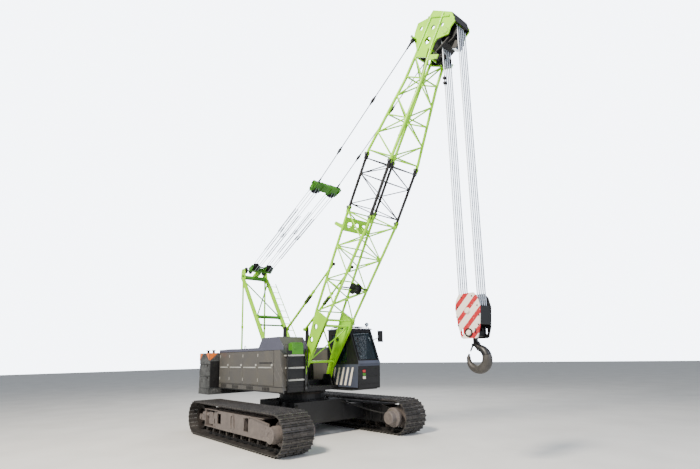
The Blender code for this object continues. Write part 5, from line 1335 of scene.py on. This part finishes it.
# %% [markdown]
# ## Falls
# Ten lines of rope hang from the head to the block. When the block climbs, the lines get shorter. Two sets
# do this: one shrinks towards the head and one towards the block, and together they cover every height. The
# second set is a little thinner, so that the two never share a surface.

# %% Falls of rope
for name, body, anchor_z, radius in (("falls_from_head", "falls", HEAD.z, 0.015),
                                     ("falls_from_block", "block", 3.42, 0.0125)):
    bm = bmesh.new()
    for y in FALL_Y:
        for x in (HOOK_X - FALL_R, HOOK_X + FALL_R):
            bar(bm, (x, y, 3.42), (x, y, HEAD.z), radius, sides=12)
    lines = piece(name, bm, FALL_ROPE, body, instead_of=["rope_falls"] if body == "falls" else [])
    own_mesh(lines)
bm = bmesh.new()
for z in (9.40, 9.26):
    block(bm, (HOOK_X - 0.275, -0.205, z - 0.03), (HOOK_X - 0.205, -0.115, z + 0.03))
bar(bm, (HOOK_X - 0.24, -0.16, 9.17), (HOOK_X - 0.24, -0.16, 9.47), 0.017, sides=12)
piece("fall_clamps", bm, BLACK, "falls", 0.004)

# %% [markdown]
# ## Hook block
# The block is two cheeks of thick plate round five sheaves. The near cheek is cream with red slanted
# warning stripes, which are painted, so a material draws them. Side covers, an axle cap and bolts finish
# it.

# %% Hook block
STRIPE_MM = 360
material, tree, shader, place = blank("striped_block_enamel")
split = add(tree, "ShaderNodeSeparateXYZ", {"Vector": place})
rise = add(tree, "ShaderNodeMath", {0: split.outputs["X"], 1: split.outputs["Z"]}, operation="SUBTRACT")
turns = add(tree, "ShaderNodeMath", {0: rise.outputs["Value"], 1: 1000 / STRIPE_MM}, operation="MULTIPLY")
share = add(tree, "ShaderNodeMath", {0: turns.outputs["Value"]}, operation="FRACT")
step = add(tree, "ShaderNodeMath", {0: share.outputs["Value"], 1: 0.42}, operation="LESS_THAN")
wear = add(tree, "ShaderNodeTexNoise", {"Vector": place, "Scale": 30.0, "Detail": 6.0})
scuffed = add(tree, "ShaderNodeMapRange",
              {"Value": wear.outputs["Fac"], "From Min": 0.60, "From Max": 0.68, "To Min": 1.0,
                                          "To Max": 0.65})
amount = add(tree, "ShaderNodeMath", {0: step.outputs["Value"], 1: scuffed.outputs["Result"]},
             operation="MULTIPLY")
paint = add(tree, "ShaderNodeMix", {"Factor": amount.outputs["Value"]}, data_type="RGBA")
paint.inputs[6].default_value = linear("EDE4DA")
paint.inputs[7].default_value = linear("B01824")
tree.links.new(paint.outputs[2], shader.inputs["Base Color"])
shader.inputs["Roughness"].default_value = 0.4
STRIPED = material
cheek = [(-0.22, 3.80), (-0.10, 3.82), (0.18, 3.82), (0.27, 3.72), (0.33, 3.50), (0.29, 3.05), (0.22, 2.82),
         (0.18, 2.80),
         (-0.17, 2.80), (-0.21, 2.83), (-0.28, 3.10), (-0.33, 3.50), (-0.30, 3.66)]
cheek = [(HOOK_X + x, z) for x, z in cheek]
slots = [[(HOOK_X + x - 0.02, 2.90), (HOOK_X + x + 0.02, 2.90), (HOOK_X + x + 0.02, 3.02),
          (HOOK_X + x - 0.02, 3.02)]
         for x in (-0.17, 0.17)]
bm = bmesh.new()
cut_plate(bm, [cheek, *slots], upright(-0.235), 0.035)
piece("near_cheek", bm, STRIPED, "block", 0.006, ["hook_block"])
bm = bmesh.new()
cut_plate(bm, [cheek, *slots], upright(0.20), 0.035)
for x in (-0.29, 0.29):
    bar(bm, (HOOK_X + x, -0.22, 3.30), (HOOK_X + x, 0.22, 3.30), 0.02, sides=16)
for side in (-1, 1):
    x = HOOK_X + side * 0.30
    block(bm, (x - 0.012, -0.20, 3.10), (x + 0.012, 0.20, 3.52))
block(bm, (HOOK_X - 0.13, -0.225, 2.84), (HOOK_X + 0.13, 0.225, 2.96))
for y in (-0.16, 0.16):
    block(bm, (HOOK_X - 0.13, y - 0.055, 2.95), (HOOK_X + 0.13, y + 0.055, 3.04))
piece("block_frame", bm, BLACK, "block", 0.006)
bm = bmesh.new()
for y in FALL_Y:
    sheave(bm, HOOK_X, 3.42, y, 0.245, 0.026, 0.075)
bar(bm, (HOOK_X, -0.20, 3.42), (HOOK_X, 0.20, 3.42), 0.05, sides=24)
piece("block_sheaves", bm, SHEAVE_IRON, "block")
bm = bmesh.new()
spun(bm, [(0.001, -0.275), (0.05, -0.275), (0.062, -0.262), (0.075, -0.234), (0.001, -0.234)],
     (HOOK_X, 3.42))
spun(bm, [(0.001, 0.275), (0.05, 0.275), (0.062, 0.262), (0.075, 0.234), (0.001, 0.234)], (HOOK_X, 3.42))
piece("axle_caps", bm, CREAM, "block")
bm = bmesh.new()
spun(bm, [(0.001, -0.262), (0.055, -0.262), (0.068, -0.236), (0.001, -0.236)], (HOOK_X, 2.93))
piece("crosshead_cap", bm, CREAM, "block")
bm = bmesh.new()
spun(bm, [(0.07, -0.25), (0.10, -0.25), (0.10, -0.235), (0.07, -0.235), (0.07, -0.25)], (HOOK_X, 2.93))
for x, z in ((-0.26, 3.52), (0.26, 3.52), (-0.26, 3.10), (0.26, 3.10), (-0.14, 3.74), (0.14, 3.74),
             (-0.29, 3.30), (0.29, 3.30)):
    bar(bm, (HOOK_X + x, -0.248, z), (HOOK_X + x, -0.234, z), 0.017, sides=6)
piece("block_bolts", bm, DARK_STEEL, "block")

# %% [markdown]
# ## Hook
# The hook is a forging with a black shank, a bare bowl that is thickest at its foot, and a point. Both
# parts are round tubes along one line. The latch is a bent strap on a pin between two ears.

# %% Hook and latch
bm = bmesh.new()
points = [(HOOK_X, 0, 3.07), (HOOK_X, 0, 2.86), (HOOK_X, 0, 2.74), (HOOK_X + 0.02, 0, 2.69)]
thick = [0.055, 0.055, 0.058, 0.080]
for i in range(33):
    share = i / 32
    angle = math.radians(78 - 283 * share)
    points.append((HOOK_X + 0.03 + 0.24 * math.cos(angle), 0, 2.36 + 0.24 * math.sin(angle)))
    thick.append(0.075 + 0.052 * math.sin(math.pi * min(1.0, 1.12 * share)) - 0.030 * share
                 - (0.02 if i > 30 else 0.0))
bowl = 11
bent_tube(bm, points[bowl:], 1.0, thick[bowl:], resolution=6, smooth=False)
piece("hook_bowl", bm, HOOK_STEEL, "hook", instead_of=["hook"], sharp=50)
bm = bmesh.new()
bent_tube(bm, points[:bowl + 1], 1.0, thick[:bowl + 1], resolution=6, smooth=False)
bar(bm, (HOOK_X, 0, 3.0403), (HOOK_X, 0, 3.09), 0.088, sides=8)
for side in (-1, 1):
    low, high = sorted((side * 0.0155, side * 0.034))
    block(bm, (HOOK_X - 0.088, low, 2.628), (HOOK_X - 0.02, high, 2.692))
piece("hook_shank", bm, BLACK, "hook", sharp=50)
bm = bmesh.new()
strap = [(HOOK_X - 0.084, 2.678), (HOOK_X - 0.062, 2.668), (HOOK_X - 0.064, 2.645), (HOOK_X - 0.100, 2.58),
         (HOOK_X - 0.138, 2.515), (HOOK_X - 0.150, 2.515), (HOOK_X - 0.158, 2.53), (HOOK_X - 0.125, 2.60)]
cut_plate(bm, [strap], upright(-0.0145), 0.029)
bar(bm, (HOOK_X - 0.072, -0.0145, 2.66), (HOOK_X - 0.072, 0.0145, 2.66), 0.020, sides=16)
piece("latch_strap", bm, BLACK, "hook_latch", 0.002, ["hook_latch"])

# %% [markdown]
# ## Luffing gear
# Four ropes run from the lower spreader to the upper one and back. As the boom drops they pay out, so each
# rope is drawn in three lengths that slide past one another. The spreaders are fabricated boxes with
# sheaves, and two pendants carry on to the boom head.

# %% Spreaders and luffing ropes
LUFF_FOOT = Vector((-3.10, 0, 5.93))
SPREADER = Vector((1.28, 0, 8.06))
run = (SPREADER - LUFF_FOOT).normalized()
over = Vector((-run.z, 0, run.x))
SPREADER_S = (SPREADER - LUFF_FOOT).length
LINE_N = 0.15 - 0.011 / 2


def on_run(s, y, n):
    return LUFF_FOOT + run * s + over * n + Vector((0, y, 0))


def run_plate(bm, loops, y, thickness):
    cut_plate(bm, loops, lambda s, n: on_run(s, y - thickness / 2, n), thickness)


def run_sheave(bm, s, y):
    centre = on_run(s, 0, 0)
    sheave(bm, centre.x, centre.z, y, 0.145, 0.020, 0.04)


bm = bmesh.new()
run_plate(bm, [[(-0.06, -0.05), (-0.04, -0.06), (0.20, -0.06), (0.20, 0.06), (-0.04, 0.06), (-0.06, 0.05)],
               circle((0, 0), 0.027)], 0, 0.08)
for n in (-0.078, 0.062):
    run_plate(bm, [[(0.09, n), (0.19, n), (0.19, n + 0.016), (0.09, n + 0.016)]], 0, 0.98)
run_plate(bm, [[(0.10, -0.07), (0.115, -0.07), (0.115, 0.07), (0.10, 0.07)]], 0, 0.98)
for side in (-1, 1):
    cheek = [(0.09, -0.10), (0.30, -0.085), (0.40, -0.045), (0.41, 0.0), (0.40, 0.045), (0.30, 0.085),
             (0.09, 0.10)]
    run_plate(bm, [cheek, circle((0.34, 0), 0.032)], side * 0.45, 0.03)
    run_plate(bm, [cheek[:], circle((0.34, 0), 0.032)], side * 0.14, 0.022)
# The lower spreader box takes the darker green, which is painted shade.
piece("lower_spreader_box", bm, SHADED_GREEN, "reeving", 0.003, ["lower_spreader"])
bm = bmesh.new()
for y in (-0.34, -0.24, 0.24, 0.34):
    run_sheave(bm, 0.34, y)
bar(bm, on_run(0.34, -0.47, 0), on_run(0.34, 0.47, 0), 0.03, sides=20)
piece("lower_spreader_sheaves", bm, SHEAVE_IRON, "reeving", instead_of=[])
for name, body, places, near, far, node in (("near_luffing_lines", "reeving", (-0.34, -0.24, 0.24, 0.34),
                                             0.34, 2.66, "near_luff_ropes"),
                                            ("far_luffing_lines", "pendants", (-0.39, -0.29, 0.29, 0.39),
                                             SPREADER_S - 2.45, SPREADER_S,
                                             "far_luff_ropes")):
    bm = bmesh.new()
    for y in places:
        for n in (-LINE_N, LINE_N):
            bar(bm, on_run(near, y, n), on_run(far, y, n), 0.011, sides=12)
        centre = on_run(near if body == "reeving" else far, 0, 0)
        side = -1 if body == "reeving" else 1
        arc = [centre + over * (LINE_N * math.cos(math.pi * k / 12))
               + run * (side * LINE_N * math.sin(math.pi * k / 12)) +
               Vector((0, y, 0)) for k in range(13)]
        bent_tube(bm, arc, 0.011, smooth=False)
    piece(name, bm, LUFF_ROPE, body, instead_of=[node])
middle_n = LINE_N + 2 * 0.011 + 2 * 0.0003
bm = bmesh.new()
for y in (-0.34, -0.24, 0.24, 0.34):
    for n in (-middle_n, middle_n):
        bar(bm, on_run(1.24, y, n), on_run(3.68, y, n), 0.011, sides=12)
piece("middle_luffing_lines", bm, LUFF_ROPE, "middle_ropes", instead_of=["middle_luff_ropes"])

bm = bmesh.new()
for n in (-0.07, 0.056):
    run_plate(bm, [[(SPREADER_S + 0.16, n), (SPREADER_S + 0.30, n), (SPREADER_S + 0.30, n + 0.014),
                    (SPREADER_S + 0.16, n + 0.014)]],
              0, 1.16)
run_plate(bm, [[(SPREADER_S + 0.285, -0.07), (SPREADER_S + 0.30, -0.07), (SPREADER_S + 0.30, 0.07),
                (SPREADER_S + 0.285, 0.07)]], 0, 1.16)
run_plate(bm, [[(SPREADER_S + 0.165, -0.07), (SPREADER_S + 0.18, -0.07), (SPREADER_S + 0.18, 0.07),
                (SPREADER_S + 0.165, 0.07)]], 0, 1.16)
for side in (-1, 1):
    cheek = [(-0.09, -0.04), (-0.05, -0.085), (0.20, -0.12), (0.30, -0.10), (0.30, 0.10), (0.20, 0.12),
             (-0.05, 0.085), (-0.09, 0.04)]
    cheek = [(SPREADER_S + s, n) for s, n in cheek]
    for y in (0.50, 0.18):
        run_plate(bm, [cheek, circle((SPREADER_S, 0), 0.031)], side * y, 0.028)
run_plate(bm, [[(SPREADER_S + 0.02, -0.085), (SPREADER_S + 0.30, -0.085), (SPREADER_S + 0.30, -0.07),
                (SPREADER_S + 0.02, -0.07)]],
          0, 1.10)
# The upper spreader box takes the darker green, which is painted shade.
piece("upper_spreader_box", bm, SHADED_GREEN, "pendants", 0.003, ["upper_spreader"])
bm = bmesh.new()
for y in (-0.39, -0.29, 0.29, 0.39):
    run_sheave(bm, SPREADER_S, y)
bar(bm, on_run(SPREADER_S, -0.52, 0), on_run(SPREADER_S, 0.52, 0), 0.03, sides=20)
piece("upper_spreader_sheaves", bm, SHEAVE_IRON, "pendants")

# %% [markdown]
# A pendant is a thick rope with a swaged socket at each end and a link plate half way.

# %% Pendants
PENDANT_PIN = at(10.44, 0, -0.36)
for tag, side in SIDES:
    y = side * 0.40
    seat = on_run(SPREADER_S + 0.302, y, 0)
    pin = Vector((PENDANT_PIN.x, y, PENDANT_PIN.z))
    way = (pin - seat).normalized()
    kink = way.angle(run)
    start = seat + way * (0.016 * math.sin(kink) + 0.0006)
    length = (pin - start).length
    bm = bmesh.new()
    bar(bm, start, pin - way * 0.10, 0.016, sides=16)
    piece(f"pendant_rope_{tag}", bm, LUFF_ROPE, "pendants", instead_of=[f"pendant_{tag}"])
    bm = bmesh.new()
    bar(bm, start + way * 0.02, start + way * 0.20, 0.036, 0.020, sides=20)
    bar(bm, pin - way * 0.34, pin - way * 0.10, 0.020, 0.036, sides=20)
    for share in (0.26, 0.62):
        spot = start + way * (length * share)
        bar(bm, spot - way * 0.16, spot - way * 0.05, 0.019, 0.036, sides=20)
        bar(bm, spot + way * 0.16, spot + way * 0.05, 0.019, 0.036, sides=20)
        bar(bm, spot - way * 0.05, spot + way * 0.05, 0.044, sides=6)
    fork = [pin + way * -0.12, pin]
    for offset in (-0.028, 0.028):
        link = [bm.verts.new(p + Vector((0, offset + d, 0)) + way.cross(Vector((0, 1, 0))) * w)
                for p in fork for d in (-0.009, 0.009) for w in (-0.045, 0.045)]
        bmesh.ops.convex_hull(bm, input=link)
    piece(f"pendant_sockets_{tag}", bm, SHEAVE_IRON, "pendants", 0.002)

# %% [markdown]
# ## Backstops
# Two sprung struts stop the boom from falling over backwards. A tube is pinned to a post on the deck, a ram
# slides in it, and the ram's eye meets the boom. A coil round the tube stands for the spring, and it keeps
# its length.

# %% Backstops
STOP_FOOT = Vector((-0.35, 0, 3.45))
STOP_EYE = at(3.76, 0, chord_depth(3.76, False) - 0.042 - 0.05)
SIDEWAYS = Vector((0, 1, 0))
COIL_STEPS = 120
COIL_RADIUS = 0.054
COIL_START = 1.36
COIL_RISE = 0.0033
for tag, side in SIDES:
    y = side * 0.38
    foot = Vector((STOP_FOOT.x, y, STOP_FOOT.z))
    eye = Vector((STOP_EYE.x, y, STOP_EYE.z))
    aim = (eye - foot).normalized()
    bm = bmesh.new()
    bar(bm, foot + aim * 0.05, foot + aim * 1.90, 0.042, sides=24)
    bar(bm, foot - Vector((0, 0.055, 0)), foot + Vector((0, 0.055, 0)), 0.060, sides=24)
    bar(bm, foot + aim * 1.88, foot + aim * 1.95, 0.052, sides=24)
    piece(f"stop_tube_{tag}", bm, LIME, f"backstop_tube_{tag}", 0.003, [f"backstop_tube_{tag}"])
    bm = bmesh.new()
    upward = aim.cross(SIDEWAYS)
    coil = []
    for i in range(COIL_STEPS + 1):
        angle = math.pi * i / 5
        ring = (SIDEWAYS * math.cos(angle) + upward * math.sin(angle)) * COIL_RADIUS
        coil.append(foot + aim * (COIL_START + COIL_RISE * i) + ring)
    bent_tube(bm, coil, 0.010, resolution=3, smooth=False)
    piece(f"stop_spring_{tag}", bm, BLACK, f"backstop_tube_{tag}", 0.004)
    bm = bmesh.new()
    bar(bm, foot + aim * 1.80, eye - aim * 0.03, 0.032, sides=20)
    piece(f"stop_ram_{tag}", bm, LIME, f"backstop_rod_{tag}", instead_of=[f"backstop_rod_{tag}"])
    bm = bmesh.new()
    bar(bm, eye - Vector((0, 0.045, 0)), eye + Vector((0, 0.045, 0)), 0.050, sides=24)
    bar(bm, eye - aim * 0.16, eye - aim * 0.09, 0.045, sides=6)
    piece(f"stop_eye_{tag}", bm, DARK_STEEL, f"backstop_rod_{tag}", 0.003)

# %% [markdown]
# ## Floor, light and camera
# A pale floor and backdrop stand round the machine, lit by a large soft key light from the front right, a
# fill and a pale sky. The camera stands at a person's height and looks along the machine.

# %% Floor and light
bm = bmesh.new()
bmesh.ops.create_grid(bm, x_segments=1, y_segments=1, size=120)
floor_mesh = bpy.data.meshes.new("floor")
bm.to_mesh(floor_mesh)
bm.free()
floor = bpy.data.objects.new("floor", floor_mesh)
floor.location.z = -0.003
bpy.context.scene.collection.objects.link(floor)
material, tree, shader, place = blank("floor_paint")
grain = add(tree, "ShaderNodeTexNoise", {"Vector": place, "Scale": 0.6, "Detail": 4.0})
tint = add(tree, "ShaderNodeValToRGB", {"Fac": grain.outputs["Fac"]},
           stops=[(0.3, linear("D2D2CF")), (0.7, linear("DDDDDA"))])
tree.links.new(tint.outputs["Color"], shader.inputs["Base Color"])
shader.inputs["Roughness"].default_value = 0.85
floor_mesh.materials.append(material)
world = bpy.data.worlds.new("pale_sky")
bpy.context.scene.world = world
world.use_nodes = True
sky = world.node_tree
backdrop = sky.nodes["Background"]
backdrop.inputs["Color"].default_value = linear("DDE4EE")
seen = add(sky, "ShaderNodeLightPath")
glow = add(sky, "ShaderNodeMapRange",
           {"Value": seen.outputs["Is Camera Ray"], "To Min": 0.60, "To Max": 9.0})
sky.links.new(glow.outputs["Result"], backdrop.inputs["Strength"])
for name, place, energy, size, colour in (("key", (5.0, -15.0, 17.0), 9500.0, 4.0, "FFF4E4"),
                                          ("fill", (16.0, 2.0, 9.0), 1300.0, 8.0, "EAF0FF"),
                                          ("rim", (-12.0, 12.0, 14.0), 1600.0, 9.0, "FFFFFF")):
    lamp = bpy.data.lights.new(name, "AREA")
    lamp.energy, lamp.size, lamp.color = energy, size, linear(colour)[:3]
    holder = bpy.data.objects.new(name, lamp)
    holder.location = place
    aim_at = Vector((SHIFT + 1.0, 0, 4.0)) - Vector(place)
    holder.rotation_euler = aim_at.to_track_quat("-Z", "Y").to_euler()
    bpy.context.scene.collection.objects.link(holder)

# %% Camera
YAW, PITCH, ROLL = 2.4328, 0.1824, -0.0207
forward = Vector((math.cos(YAW) * math.cos(PITCH), math.sin(YAW) * math.cos(PITCH), math.sin(PITCH)))
level = Vector((math.sin(YAW), -math.cos(YAW), 0))
up = level.cross(forward)
right = level * math.cos(ROLL) + up * math.sin(ROLL)
upward = -level * math.sin(ROLL) + up * math.cos(ROLL)
lens = bpy.data.cameras.new("view")
lens.lens = 22.466
lens.shift_x = 0.0035
lens.shift_y = 0.060
lens.clip_end = 300
camera = bpy.data.objects.new("view", lens)
turned = Matrix((right, upward, -forward)).transposed().to_4x4()
camera.matrix_world = Matrix.Translation((12.5935 + SHIFT, -8.6667, 2.4476)) @ turned
bpy.context.scene.collection.objects.link(camera)
bpy.context.scene.camera = camera
